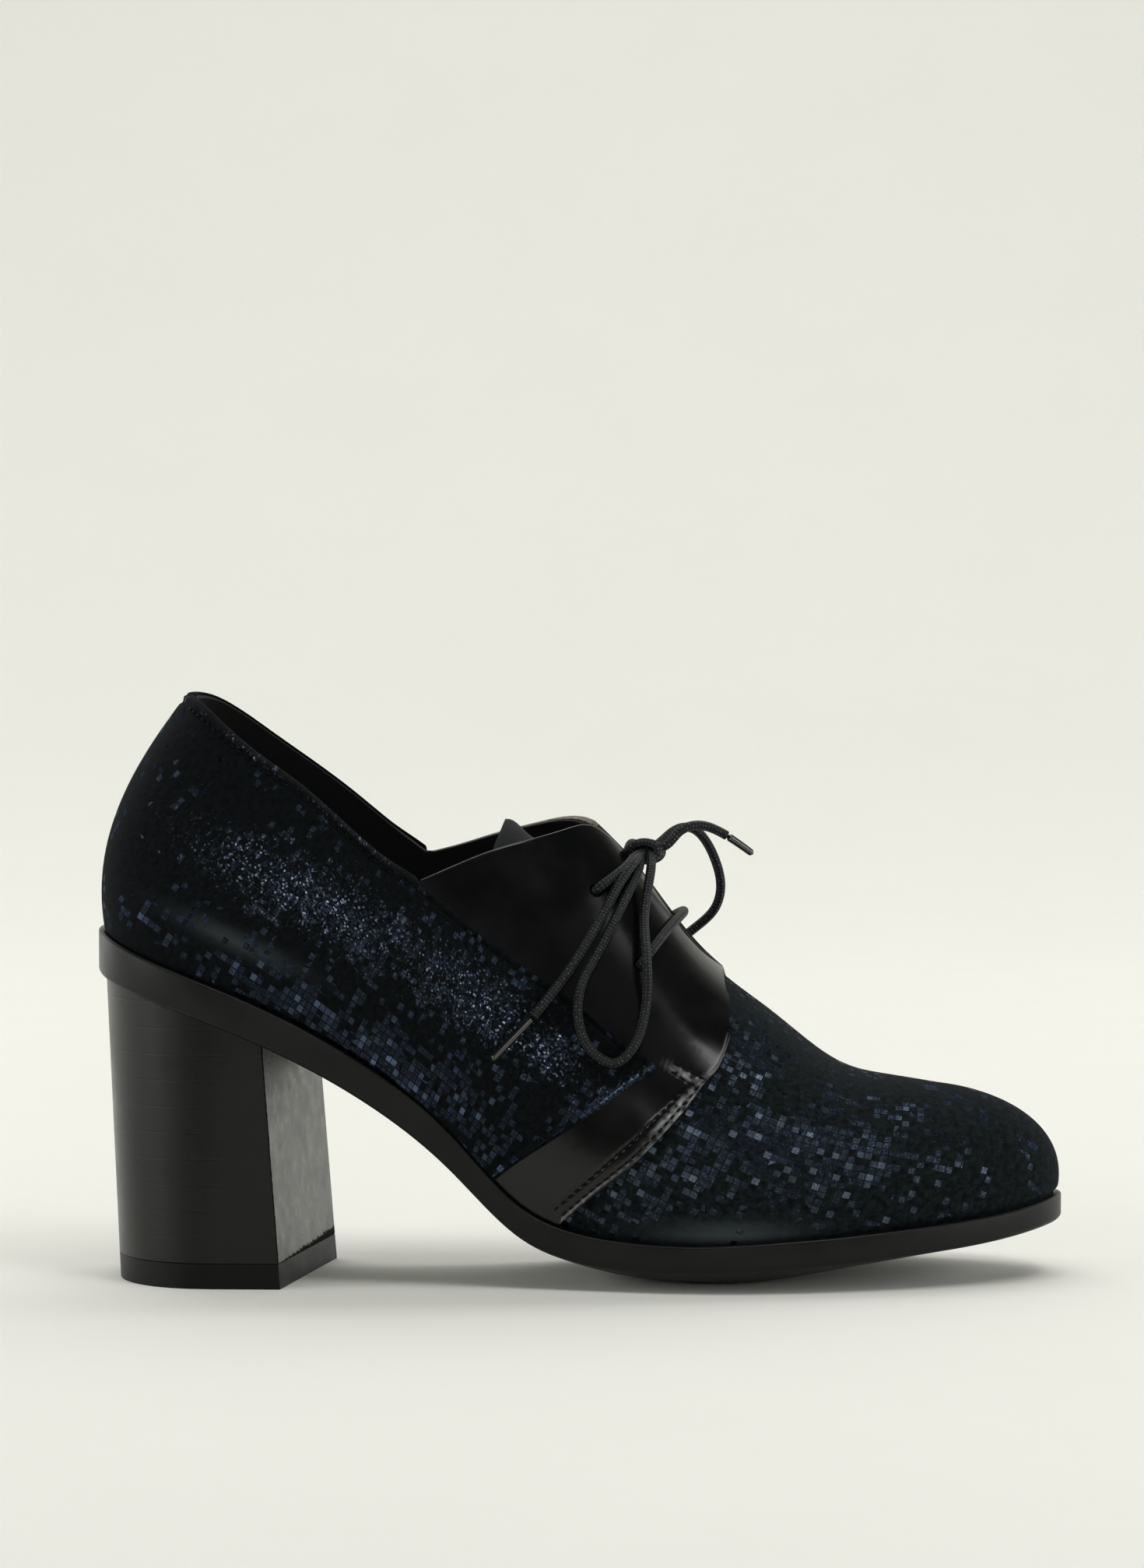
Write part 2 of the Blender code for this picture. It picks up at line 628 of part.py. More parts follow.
def build_heel_block(collection, material):
    """The stacked heel between the top piece and the seat of the outsole."""
    low = TOP_PIECE_THICK + GAP
    columns = []
    for spot in HEEL_SPOTS:
        level = SOLE["middle"][0]
        for _ in range(SEAT_ROUNDS):
            rim = heel_plan(spot, level)
            level = sole_underside(*rim) - GAP
        centre = np.array((HEEL["round_depth"][0], HEEL["middle"][0]))
        foot = heel_plan(spot, low)
        inner = [rim + (centre - rim) * share for share in SEAT_SHARES]
        column = [(*centre, low), (*foot, low), (*rim, level)]
        column.extend((*spot_in, sole_underside(*spot_in) - GAP) for spot_in in inner)
        columns.append(column)
    return add_object("heel_block", grid_mesh("heel_block", columns), material, collection)


def build_top_piece(collection, material):
    """The rubber top piece that the heel stands on."""
    centre = np.array((HEEL["round_depth"][0], HEEL["middle"][0]))
    columns = []
    for spot in HEEL_SPOTS:
        low = heel_plan(spot, 0.0)
        high = heel_plan(spot, TOP_PIECE_THICK)
        columns.append([(*centre, 0.0), (*low, 0.0), (*high, TOP_PIECE_THICK),
                        (*centre, TOP_PIECE_THICK)])
    return add_object("top_piece", grid_mesh("top_piece", columns), material, collection)


# Rows up the upper's wall, and places along where its mesh follows the notch, facing and slit.
UPPER_ROWS = 9
UPPER_MARKS = (NOTCH_ALONG, 118.0, 122.0, 126.0, 133.5, 138.0, 141.5, 147.5, THROAT_ALONG, 157.0)
UPPER_MARK_SHARE = 0.6


def build_upper(collection, material):
    """The lasted upper: one wall from the feather edge to collar, facings and slit."""
    marks = [round(station_at(along, "lateral", UPPER_MARK_SHARE), 6) for along in UPPER_MARKS]
    columns = []
    for station in loop_stations(2, marks):
        top = top_share(station)
        columns.append([surface(station, top * row / (UPPER_ROWS - 1)) for row in range(UPPER_ROWS)])
    item = add_object("upper", grid_mesh("upper", columns), material, collection)
    solidify(item, UPPER_WALL, outward=False)
    return item


OVERLAY_ROWS = 8


def overlay(name, side, alongs, low_share, high_share, lift_at):
    """A sheet over the upper, cut between a lower and an upper edge seen from the side."""
    columns = []
    for along in alongs:
        station = station_at(along, side)
        low = low_share(along, station)
        rise = (high_share(along, station) - low) / (OVERLAY_ROWS - 1)
        columns.append([surface(station, low + rise * row, lift_at(along)) for row in range(OVERLAY_ROWS)])
    if side == "medial":
        columns.reverse()
    return grid_mesh(name, columns)


def edge_curve(rows):
    """Height along the shoe through a short list of edge points."""
    return open_spline([row[0] for row in rows], [row[1] for row in rows])


FEATHER_CLEARANCE = 1.5


def feather_share(station):
    """Share at which an overlay starts, just clear of the sole."""
    return share_at_height(station, surface(station, 0.0)[2] + FEATHER_CLEARANCE)


def crowded(start, end, count, power):
    """Places from start to end, closer together toward the end."""
    shares = [1.0 - (1.0 - step / count) ** power for step in range(count + 1)]
    return [start + (end - start) * share for share in shares]


# Columns of the facing's mesh, crowded toward its nose, and how far they stop short of its ends.
FACING_STEPS = 26
FACING_CROWDING = 1.6
FACING_BACK_TRIM = 0.6
FACING_NOSE_TRIM = 0.05


def build_facing(side, collection, material):
    """The polished facing: free front edge over the vamp, its back hidden by the quarter."""
    upper_run = edge_curve(FACING_UPPER_ROWS)
    lower_run = edge_curve(FACING_LOWER_ROWS)
    back_run = edge_curve(FACING_BACK_ROWS)
    sole_start = FACING_BACK_ROWS[-1][0]
    sole_end = FACING_LOWER_ROWS[0][0]

    def low(along, station):
        if along < sole_start:
            return share_at_height(station, back_run(along))
        if along < sole_end:
            return feather_share(station)
        return max(share_at_height(station, lower_run(along)), feather_share(station))

    def high(along, station):
        share = top_share(station)
        if along > FACING_UPPER_ROWS[0][0]:
            share = min(share, share_at_height(station, upper_run(along)))
        return share

    name = "facing_" + side
    start = FACING_BACK_ROWS[0][0] + FACING_BACK_TRIM
    alongs = crowded(start, FACING_NOSE[0] - FACING_NOSE_TRIM, FACING_STEPS, FACING_CROWDING)
    mesh = overlay(name, side, alongs, low, high, lambda along: OVERLAY_GAP)
    item = add_object(name, mesh, material, collection)
    solidify(item, FACING_THICK, outward=True)
    return item


# Where the quarter steps up over the facing, and the columns of its mesh: closer together at the
# back seam, even along the collar and crowded toward its nose.
LAP_START = 68.0
LAP_END = 77.0
BACK_SEAM_TRIM = 0.02
QUARTER_BACK_STEPS = 12
QUARTER_MIDDLE = (52.0, 59.0, 66.0, 70.0, 74.0, NOTCH_ALONG)
QUARTER_FRONT_START = 84.0
QUARTER_FRONT_STEPS = 12
QUARTER_CROWDING = 1.5


def quarter_lift(along):
    """Lift of the quarter over the upper, stepping up where it laps the facing."""
    share = min(max((along - LAP_START) / (LAP_END - LAP_START), 0.0), 1.0)
    ease = share * share * (3.0 - 2.0 * share)
    return OVERLAY_GAP + ease * (FACING_THICK + OVERLAY_GAP)


def build_quarter(side, collection, material):
    """The quarter from the back seam to its rounded corner over the facing."""
    upper_run = edge_curve(QUARTER_UPPER_ROWS)
    lower_run = edge_curve(QUARTER_LOWER_ROWS)
    sole_end = QUARTER_LOWER_ROWS[0][0]

    def low(along, station):
        if along < sole_end:
            return feather_share(station)
        return max(share_at_height(station, lower_run(along)), feather_share(station))

    def high(along, station):
        share = top_share(station)
        if along > NOTCH_ALONG:
            share = min(share, share_at_height(station, upper_run(along)))
        return share

    name = "quarter_" + side
    seam = surface(0.0, 0.5)[0] + BACK_SEAM_TRIM
    reach = QUARTER_MIDDLE[0] - seam
    alongs = [seam + reach * (step / QUARTER_BACK_STEPS) ** 2 for step in range(QUARTER_BACK_STEPS)]
    alongs += QUARTER_MIDDLE
    alongs += crowded(QUARTER_FRONT_START, QUARTER_NOSE_ALONG, QUARTER_FRONT_STEPS, QUARTER_CROWDING)
    mesh = overlay(name, side, alongs, low, high, quarter_lift)
    item = add_object(name, mesh, material, collection)
    solidify(item, QUARTER_THICK, outward=True)
    return item


def build_tongue(collection, material):
    """The tongue under the facings, its end fallen back into the opening."""
    curves = {name: open_spline(TONGUE["along"], TONGUE[name])
              for name in ("drop", "half_width", "lean")}
    inside = -(UPPER_WALL + TONGUE_CLEARANCE)
    columns = []
    for along in np.linspace(TONGUE["along"][0], TONGUE["along"][-1], TONGUE_STEPS + 1):
        lateral = station_at(along, "lateral", 1.0)
        crest = surface(lateral, 1.0, inside)
        column = []
        for side in np.linspace(-1.0, 1.0, TONGUE_ACROSS):
            station = lateral if side <= 0.0 else LOOP - lateral
            middle = surface(station, 1.0)[1]
            reach = abs(side) * curves["half_width"](along)
            share = crossing(lambda share: reach_left(station, share, middle, reach), LOWEST_TOP_SHARE, 1.0)
            point = surface(station, share, inside)
            sag = crest[2] - point[2]
            column.append((point[0] - curves["lean"](along) * sag, point[1],
                           point[2] - curves["drop"](along)))
        columns.append(column)
    item = add_object("tongue", grid_mesh("tongue", columns), material, collection)
    solidify(item, TONGUE_THICK, outward=False)
    return item


def reach_left(station, share, middle, reach):
    """How far a section point has come inside a distance from the crest."""
    return reach - abs(surface(station, share)[1] - middle)


def nearest_share(station, point):
    """Share of a section whose point lies closest to a place beside the shoe."""
    shares = np.linspace(0.0, SHARE_LIMIT, NEAREST_SAMPLES)
    gaps = [np.linalg.norm(surface(station, share)[1:] - point[1:]) for share in shares]
    return float(shares[int(np.argmin(gaps))])


def rest_on(point, lift):
    """Move a cord point out until it lies a lift away from the upper's surface.

    Beside the shoe it moves sideways, at the height where it shows; over the crest, straight out.
    """
    point = np.array(point)
    crest = surface(station_at(point[0], "lateral", 1.0), 1.0)
    side = "lateral" if point[1] < crest[1] else "medial"
    station = station_at(point[0], side)
    share = share_at_height(station, point[2])
    skin = surface(station, share)
    normal = surface(station, share, 1.0) - skin
    if share < SHARE_LIMIT and abs(normal[1]) > STEEP:
        outward = skin[1] + lift / normal[1]
        point[1] = min(point[1], outward) if side == "lateral" else max(point[1], outward)
        return point
    for _ in range(REST_ROUNDS):
        share = nearest_share(station, point)
        skin = surface(station, share)
        normal = surface(station, share, 1.0) - skin
        point = point + normal * max(lift - np.dot(point - skin, normal), 0.0)
        station = station_at(point[0], side, share)
    return point


def cord_lift(along, up):
    """Lift that a cord's middle needs over the facing, or over the quarter where that shows."""
    lift = LACE_DIAMETER / 2.0 + OVERLAY_GAP + FACING_THICK + CORD_CLEARANCE
    diagonal = edge_curve(QUARTER_UPPER_ROWS)
    if along < QUARTER_NOSE_ALONG + QUARTER_MARGIN and up < diagonal(along) + QUARTER_MARGIN:
        lift += QUARTER_THICK + OVERLAY_GAP
    return lift


def smooth_route(points, step):
    """Even points along a smooth curve through a route's own points."""
    points = np.array(points)
    chords = np.linalg.norm(np.diff(points, axis=0), axis=1)
    knots = np.concatenate(((0.0,), np.cumsum(chords)))
    curves = [open_spline(knots, points[:, axis]) for axis in range(3)]
    count = max(int(round(knots[-1] / step)), 2)
    return [tuple(curve(knots[-1] * spot / count) for curve in curves) for spot in range(count + 1)]


def build_cord(name, route, diameter, collection, material, beside=True):
    """A round cord along a hand-placed route."""
    if beside:
        route = [rest_on(point, cord_lift(point[0], point[2])) for point in route]
    points = smooth_route(route, ROUTE_STEP)
    data = bpy.data.curves.new(name, "CURVE")
    data.dimensions = "3D"
    data.bevel_depth = diameter / 2.0 * MM
    data.bevel_resolution = 2
    data.use_fill_caps = True
    spline = data.splines.new("POLY")
    spline.points.add(len(points) - 1)
    for spot, point in zip(spline.points, points):
        spot.co = (*place(point), 1.0)
    return add_object(name, data, material, collection)


def build_knot(collection, material):
    """The bow's knot as one rounded solid."""
    shape = bmesh.new()
    bmesh.ops.create_uvsphere(shape, u_segments=KNOT_SEGMENTS, v_segments=KNOT_RINGS, radius=1.0)
    for corner in shape.verts:
        corner.co = Vector(radius * MM * share for radius, share in zip(KNOT_RADII, corner.co))
    mesh = bpy.data.meshes.new("lace_knot")
    shape.to_mesh(mesh)
    shape.free()
    mesh.shade_smooth()
    item = add_object("lace_knot", mesh, material, collection)
    item.location = place(KNOT_CENTRE)
    return item


def main():
    """Build every piece of the shoe into one collection."""
    for item in list(bpy.data.objects):
        bpy.data.objects.remove(item, do_unlink=True)
    shoe = bpy.data.collections.new("heeled_derby_shoe")
    bpy.context.scene.collection.children.link(shoe)

    rubber = make_material("black_rubber", BLACK_RUBBER, 0.55)
    stack = make_material("stacked_heel", STACKED_BLACK, 0.38, 0.3)
    suede = make_material("foil_suede", NAVY_SUEDE, 0.85)
    polished = make_material("polished_leather", POLISHED_BLACK, 0.16, 0.6)
    lining = make_material("dark_lining", DARK_LINING, 0.8)
    waxed = make_material("waxed_lace", WAXED_BLACK, 0.4, 0.2)

    build_outsole(shoe, rubber)
    build_heel_block(shoe, stack)
    build_top_piece(shoe, rubber)
    build_insole(shoe, lining)
    build_upper(shoe, suede)
    build_tongue(shoe, lining)
    for side in ("lateral", "medial"):
        build_facing(side, shoe, polished)
        build_quarter(side, shoe, suede)

    build_cord("lace_lower_bar", LOWER_BAR, LACE_DIAMETER, shoe, waxed)
    build_cord("lace_upper_bar_lateral", UPPER_BAR_LATERAL, LACE_DIAMETER, shoe, waxed)
    build_cord("lace_upper_bar_medial", UPPER_BAR_MEDIAL, LACE_DIAMETER, shoe, waxed)
    build_knot(shoe, waxed)
    build_cord("lace_loop_lateral", LOOP_LATERAL, LACE_DIAMETER, shoe, waxed)
    build_cord("lace_loop_medial", LOOP_MEDIAL, LACE_DIAMETER, shoe, waxed)
    build_cord("lace_end_lateral", END_LATERAL, LACE_DIAMETER, shoe, waxed)
    build_cord("lace_end_medial", END_MEDIAL, LACE_DIAMETER, shoe, waxed, beside=False)
    build_cord("aglet_lateral", AGLET_LATERAL, AGLET_DIAMETER, shoe, polished)
    build_cord("aglet_medial", AGLET_MEDIAL, AGLET_DIAMETER, shoe, polished, beside=False)


main()
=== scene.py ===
"""Looks of a heeled derby shoe for the right foot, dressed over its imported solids.

The tables hold millimetres, measured from the back of the outsole: along toward the toe, across with
the outer (lateral) side negative, and up from the floor. One closed loop of stations runs from the
heel's back along the lateral side to the toe tip and back along the medial side.
"""
import logging
import math
from collections.abc import Callable, Sequence
from dataclasses import dataclass
from enum import Enum
from functools import cache, partial

import bmesh
import bpy
import numpy as np
from mathutils import Matrix, Vector
from mathutils.geometry import area_tri

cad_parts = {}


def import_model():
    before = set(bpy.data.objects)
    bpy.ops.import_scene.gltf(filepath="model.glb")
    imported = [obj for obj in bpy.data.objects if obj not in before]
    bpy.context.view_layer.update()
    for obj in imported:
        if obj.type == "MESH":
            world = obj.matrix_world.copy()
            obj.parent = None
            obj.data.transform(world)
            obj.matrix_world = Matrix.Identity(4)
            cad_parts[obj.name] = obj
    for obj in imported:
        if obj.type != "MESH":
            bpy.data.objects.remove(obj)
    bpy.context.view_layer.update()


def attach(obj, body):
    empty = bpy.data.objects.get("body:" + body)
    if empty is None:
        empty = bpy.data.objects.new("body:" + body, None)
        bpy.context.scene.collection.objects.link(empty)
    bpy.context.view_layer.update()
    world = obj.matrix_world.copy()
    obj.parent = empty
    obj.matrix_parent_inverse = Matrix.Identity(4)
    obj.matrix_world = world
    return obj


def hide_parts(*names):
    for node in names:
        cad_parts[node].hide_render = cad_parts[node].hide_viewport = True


LOG = logging.getLogger("derby_shoe")
BODY = "root"
MM = 0.001
SHADER = "Principled BSDF"
NODE_MODES = {"Math": "operation", "VectorMath": "operation", "Mix": "data_type",
              "TexNoise": "noise_dimensions", "TexWhiteNoise": "noise_dimensions",
              "TexVoronoi": "voronoi_dimensions"}
LIP_HIGHLIGHT_LAYER = "lip_highlight"
WELD = 0.004
SHARP_ANGLE = math.radians(42.0)
PATCH_FALL = 0.7
UPPER_WALL = 1.5
FACING_LIFT = 1.35
NOSE_ALONG = 134.6

Array = np.ndarray
Values = float | Array
Pair = tuple[float, float]
Spot = tuple[float, float, float]
Row = Sequence[float]
Rows = Sequence[Row]
Piece = bpy.types.Object
Mesh = bpy.types.Mesh
Material = bpy.types.Material

# Along, across on each side and the fan's start on the middle line, at each station.
OUTLINE_ROWS = (
    (-0.7, 0, 0, 24), (3, -16.5, 15, 25.5), (13, -26.5, 23.6, 29), (28, -31.6, 27, 36),
    (48, -33.4, 27.4, 49), (68, -32.4, 25.2, 68), (86, -31.4, 22.6, 86), (101, -31.5, 22, 101),
    (115, -33.4, 25.5, 115), (129, -36.2, 31.2, 129), (145, -38.7, 36.8, 145),
    (161, -38.3, 39.6, 161), (177, -35.1, 38.9, 175.5), (193, -30.1, 36.3, 187),
    (208, -23.3, 31.4, 195.5), (220.5, -15, 25, 201), (229, -5.4, 16.2, 204), (232, 5.5, 5.5, 205),
)
# Along, the underside's height in the middle and at each edge, and the thickness.
SOLE_ROWS = (
    (-0.7, 73.3, 73.3, 73.3, 10.6), (13, 68.4, 68.4, 68.4, 9.6), (28, 63.2, 63.2, 63.2, 9.2),
    (48, 54.6, 54.7, 54.9, 9), (68, 42.4, 43, 44, 8.9), (86, 26.8, 28.2, 30, 8.8),
    (101, 12.2, 13.4, 15, 7.6), (115, 4.4, 7.2, 7.6, 6.9), (129, 0.6, 5.5, 4.4, 6.5),
    (145, -0.9, 5.1, 3.2, 6.4), (161, -0.5, 5.9, 3.4, 6.4), (177, 2.2, 6.9, 5.2, 6.4),
    (193, 5.2, 8.3, 7.3, 6.3), (208, 8.2, 9.7, 9.1, 6.2), (220.5, 10.9, 11.4, 11.2, 6.1),
    (232, 13.6, 13.6, 13.6, 6.1),
)
LAST_COLUMNS = ("inset", "top_along", "top_lateral", "top_medial", "top_height",
                "wall", "shoulder", "crown", "flare_lateral", "flare_medial", "lean")
LAST_ROWS = (
    (3, 30, -1, -1, 149.5, 0.39, 0.685, 0.625, 5, 5, 0),
    (3, 31.5, -8, 5.5, 149.5, 0.39, 0.685, 0.605, 4.9, 4.9, 0),
    (3.1, 35.5, -14, 10.5, 149.5, 0.39, 0.7, 0.56, 4.7, 4.7, 0),
    (3.2, 43, -17.5, 13.5, 149.5, 0.39, 0.72, 0.46, 4.4, 4.6, 0),
    (3.3, 55, -18, 14, 149.5, 0.4, 0.74, 0.37, 4.3, 5, 0),
    (3.4, 71.5, -14.5, 12, 149, 0.42, 0.79, 0.45, 4.6, 6, 0),
    (3.4, 87.5, -6, 7, 143.5, 0.44, 0.87, 0.53, 5, 8, 0),
    (3.4, 101.5, 0.5, 4, 131.5, 0.45, 0.94, 0.57, 5.2, 9, 0),
    (3.4, 115, 2.8, 2.8, 114.5, 0.46, 0.98, 0.5, 5.2, 7.5, 0),
    (3, 129, 3.2, 3.2, 97.8, 0.48, 1, 0.5, 5, 5.5, 0),
    (2.4, 145, 3.8, 3.8, 77.2, 0.51, 1, 0.54, 4.4, 4.2, 0),
    (2, 161, 4.3, 4.3, 64, 0.55, 1, 0.58, 3.6, 3.6, -0.1),
    (1.9, 176, 4.6, 4.6, 52.3, 0.61, 1, 0.57, 3.3, 3.3, -0.17),
    (1.8, 187, 4.8, 4.8, 48.4, 0.62, 1, 0.58, 3.3, 3.3, -0.17),
    (1.8, 194.5, 5, 5, 47.2, 0.62, 1, 0.6, 3.2, 3.2, -0.16),
    (1.4, 199.5, 5.2, 5.2, 46.4, 0.61, 1, 0.57, 3.1, 3.1, -0.15),
    (1.1, 202.5, 5.4, 5.4, 46, 0.6, 1, 0.565, 3, 3, -0.14),
    (1, 203.5, 5.5, 5.5, 45.8, 0.6, 1, 0.56, 3.4, 3.4, -0.14),
)
# Along, then the height on each side.
COLLAR_ROWS = (
    (20, 140.2, 140.2), (24, 139, 139.6), (30, 134.6, 136.6), (40, 126.6, 129.4), (50, 119.6, 122.2),
    (60, 111, 114.6), (69, 103.2, 107.2), (78, 97, 100.4),
)
FACING_TOP_ROWS = (
    (78, 97, 100.4), (86, 100.4, 102.6), (95, 103.8, 105.5), (104, 106.1, 107.9), (112, 108, 109.6),
    (117.5, 108.3, 108.9), (122, 105.2, 105.8), (126, 101.6, 102.2),
)
# Along, then the half width on each side.
SLIT_ROWS = (
    (112, 4.5, 4), (122, 4, 3.2), (131, 4.2, 3.2), (138, 6, 4.2), (143, 6, 4), (147.5, 2.8, 2.2),
    (150, 0, 0),
)
# Edges of the panels as seen from the side: along and height.
FACING_UPPER_ROWS = ((148, 76), (149.3, 72.6), (150.5, 68.4), (151.5, 64.2), (151.8, 60))
FACING_LOWER_ROWS = ((112, 15.5), (120.6, 23.2), (130, 30.8), (137, 38.2), (143, 45.2),
                     (147, 50.2), (150.6, 55.6), (151.8, 60))
FACING_BACK_ROWS = ((78, 95.5), (86, 66), (93, 31))
QUARTER_UPPER_ROWS = ((78, 97), (90, 86.8), (108.3, 73.2), (121, 63.8), (130.5, 56.4),
                      (133.6, 54.4), (134.6, 53))
QUARTER_LOWER_ROWS = ((96, 25.6), (100, 28.8), (107, 33.6), (116, 39.4), (124, 45),
                      (131, 50), (133.8, 51.6), (134.6, 52.4))
# Along, drop below the upper, half width, and how far the sides lean back.
TONGUE_ROWS = (
    (99, 23, 7, 0.42), (100.5, 21.6, 10.5, 0.4), (104.5, 20.4, 13.5, 0.34), (111, 15.4, 15.5, 0.24),
    (118, 10.2, 16, 0.12), (126, 4.6, 16, 0.04), (134, 0.6, 15.5, 0), (144, 0, 14.5, 0),
    (158, 0, 13, 0),
)
# Rows of stitches as seen from the side: the outer and inner one, and where each turns up.
STITCH_ROWS = (
    ((112.4, 17.8), (120.6, 24.9), (131, 33.6), (137, 39.8), (143, 46.4), (146.2, 49.8)),
    ((110.5, 19), (118.6, 26.3), (127.9, 34.7), (135.5, 41.6), (142.8, 49)),
    ((138.5, 53.9), (146.2, 49.8)),
    ((137.9, 52.1), (142.8, 49)),
)
# Patches: place along, height, half length, half width, tilt in degrees, share in the middle.
FOIL_PATCHES = (
    (72, 81, 43, 8, -33.8, 0.5), (71, 53, 40, 8.5, -33, 0.95), (18, 86, 8, 9, 0, 0.3),
    (166, 34, 30, 10, -11, 0.95), (156, 53.5, 10, 7, -20, 0.75), (133, 23, 15, 8, 30, 0.62),
    (180, 49, 14, 5, -10, 0.12), (202, 18.5, 12, 3, 8, 0.22),
)
# Patches of crumbled foil flakes, the brightest of which get a painted glint colour.
SPECK_AND_GLINT_PATCHES = ((52.3, 93.5, 27, 7, -27, 0.95), (93.6, 68, 24, 6.5, -38, 0.95),
                 (109, 57, 8, 5, -34, 1), (126, 48.6, 9, 1.3, 34.4, 0.9),
                 (38.3, 127.2, 17, 1, -37, 0.6), (62.6, 108, 18, 1, -39.5, 0.6))
# Patches of painted pale highlight along the facing's stitched lip, which is also duller there.
LIP_HIGHLIGHT_PATCHES = ((140.8, 42.3, 9.5, 0.9, 48.5, 1), (140.2, 44.6, 6.5, 0.6, 46.5, 0.7),
                  (141, 51.6, 3, 0.6, -30, 0.6))
# Patches where more foil stays and is painted bright: a painted highlight on the quarters' edge beads.
PAINTED_SHINE_PATCHES = ((125.2, 47.6, 9.5, 1.1, 34.4, 1), (94, 80.5, 24, 1, -36, 0.35))
# Patches of nap rubbed smooth and glossier, and also painted paler as a soft highlight.
RUBBED_SHEEN_PATCHES = ((35, 83, 12, 1.7, -24, 0.8), (151.5, 14.4, 13, 2.2, 0, 1))
FOIL_LAYERS = {
    "foil_share": (FOIL_PATCHES, 0.03),
    "foil_speck_and_glint": (SPECK_AND_GLINT_PATCHES, 0.0),
    "foil_painted_shine": (PAINTED_SHINE_PATCHES, 0.0),
    "nap_rubbed_sheen": (RUBBED_SHEEN_PATCHES, 0.0),
}
TOE = len(OUTLINE_ROWS) - 1
LOOP = 2 * TOE


class Side(Enum):
    """The shoe's two sides, with the direction across of each."""

    LATERAL = -1.0
    MEDIAL = 1.0

    @property
    def word(self) -> str:
        """The side's name as used in the names of pieces."""
        return self.name.lower()

    @property
    def order(self) -> int:
        """Step through a sheet's columns that turns its faces outwards."""
        return -int(self.value)


class Run:
    """A smooth open curve through a short table of values."""

    def __init__(self, knots: Row, values: Row) -> None:
        """Fit the curve.

        Args:
            knots: rising places.
            values: value at each place.
        """
        self.knots = np.asarray(knots, dtype=float)
        self.values = np.asarray(values, dtype=float)
        self.steps = np.diff(self.knots)
        slopes = np.diff(self.values) / self.steps
        count = len(self.knots)
        system = np.eye(count)
        changes = np.zeros(count)
        for knot in range(1, count - 1):
            before, after = self.steps[knot - 1], self.steps[knot]
            system[knot, knot - 1:knot + 2] = (before, 2.0 * (before + after), after)
            changes[knot] = 6.0 * (slopes[knot] - slopes[knot - 1])
        self.bends = np.linalg.solve(system, changes)

    def __call__(self, place: Values) -> Values:
        """Value at one or more places.

        Args:
            place: where to read the curve, held inside its ends.

        Returns:
            The curve's value there.
        """
        place = np.clip(place, self.knots[0], self.knots[-1])
        near = np.minimum(np.searchsorted(self.knots, place, side="right") - 1, len(self.steps) - 1)
        step = self.steps[near]
        ahead = (place - self.knots[near]) / step
        behind = 1.0 - ahead
        curve = (behind ** 3 - behind) * self.bends[near] + (ahead ** 3 - ahead) * self.bends[near + 1]
        return behind * self.values[near] + ahead * self.values[near + 1] + curve * step * step / 6.0


class Loop(Run):
    """A smooth closed curve through one value for each station around the shoe."""

    def __init__(self, lateral: Array, medial: Array) -> None:
        """Fit the curve, laid three times round so that its middle turn is smooth at both ends.

        Args:
            lateral: values from the heel's back to the toe tip on the lateral side.
            medial: the same on the medial side.
        """
        once = np.concatenate((lateral, medial[-2:0:-1]))
        super().__init__(np.arange(3 * len(once)), np.tile(once, 3))

    def __call__(self, station: float) -> float:
        """Value at a station, which wraps at the loop's end."""
        return float(super().__call__(LOOP + station % LOOP))


def run_of(rows: Rows, column: int = 1) -> Run:
    """Curve through one column of a table whose first column is the place along."""
    return Run([row[0] for row in rows], [row[column] for row in rows])


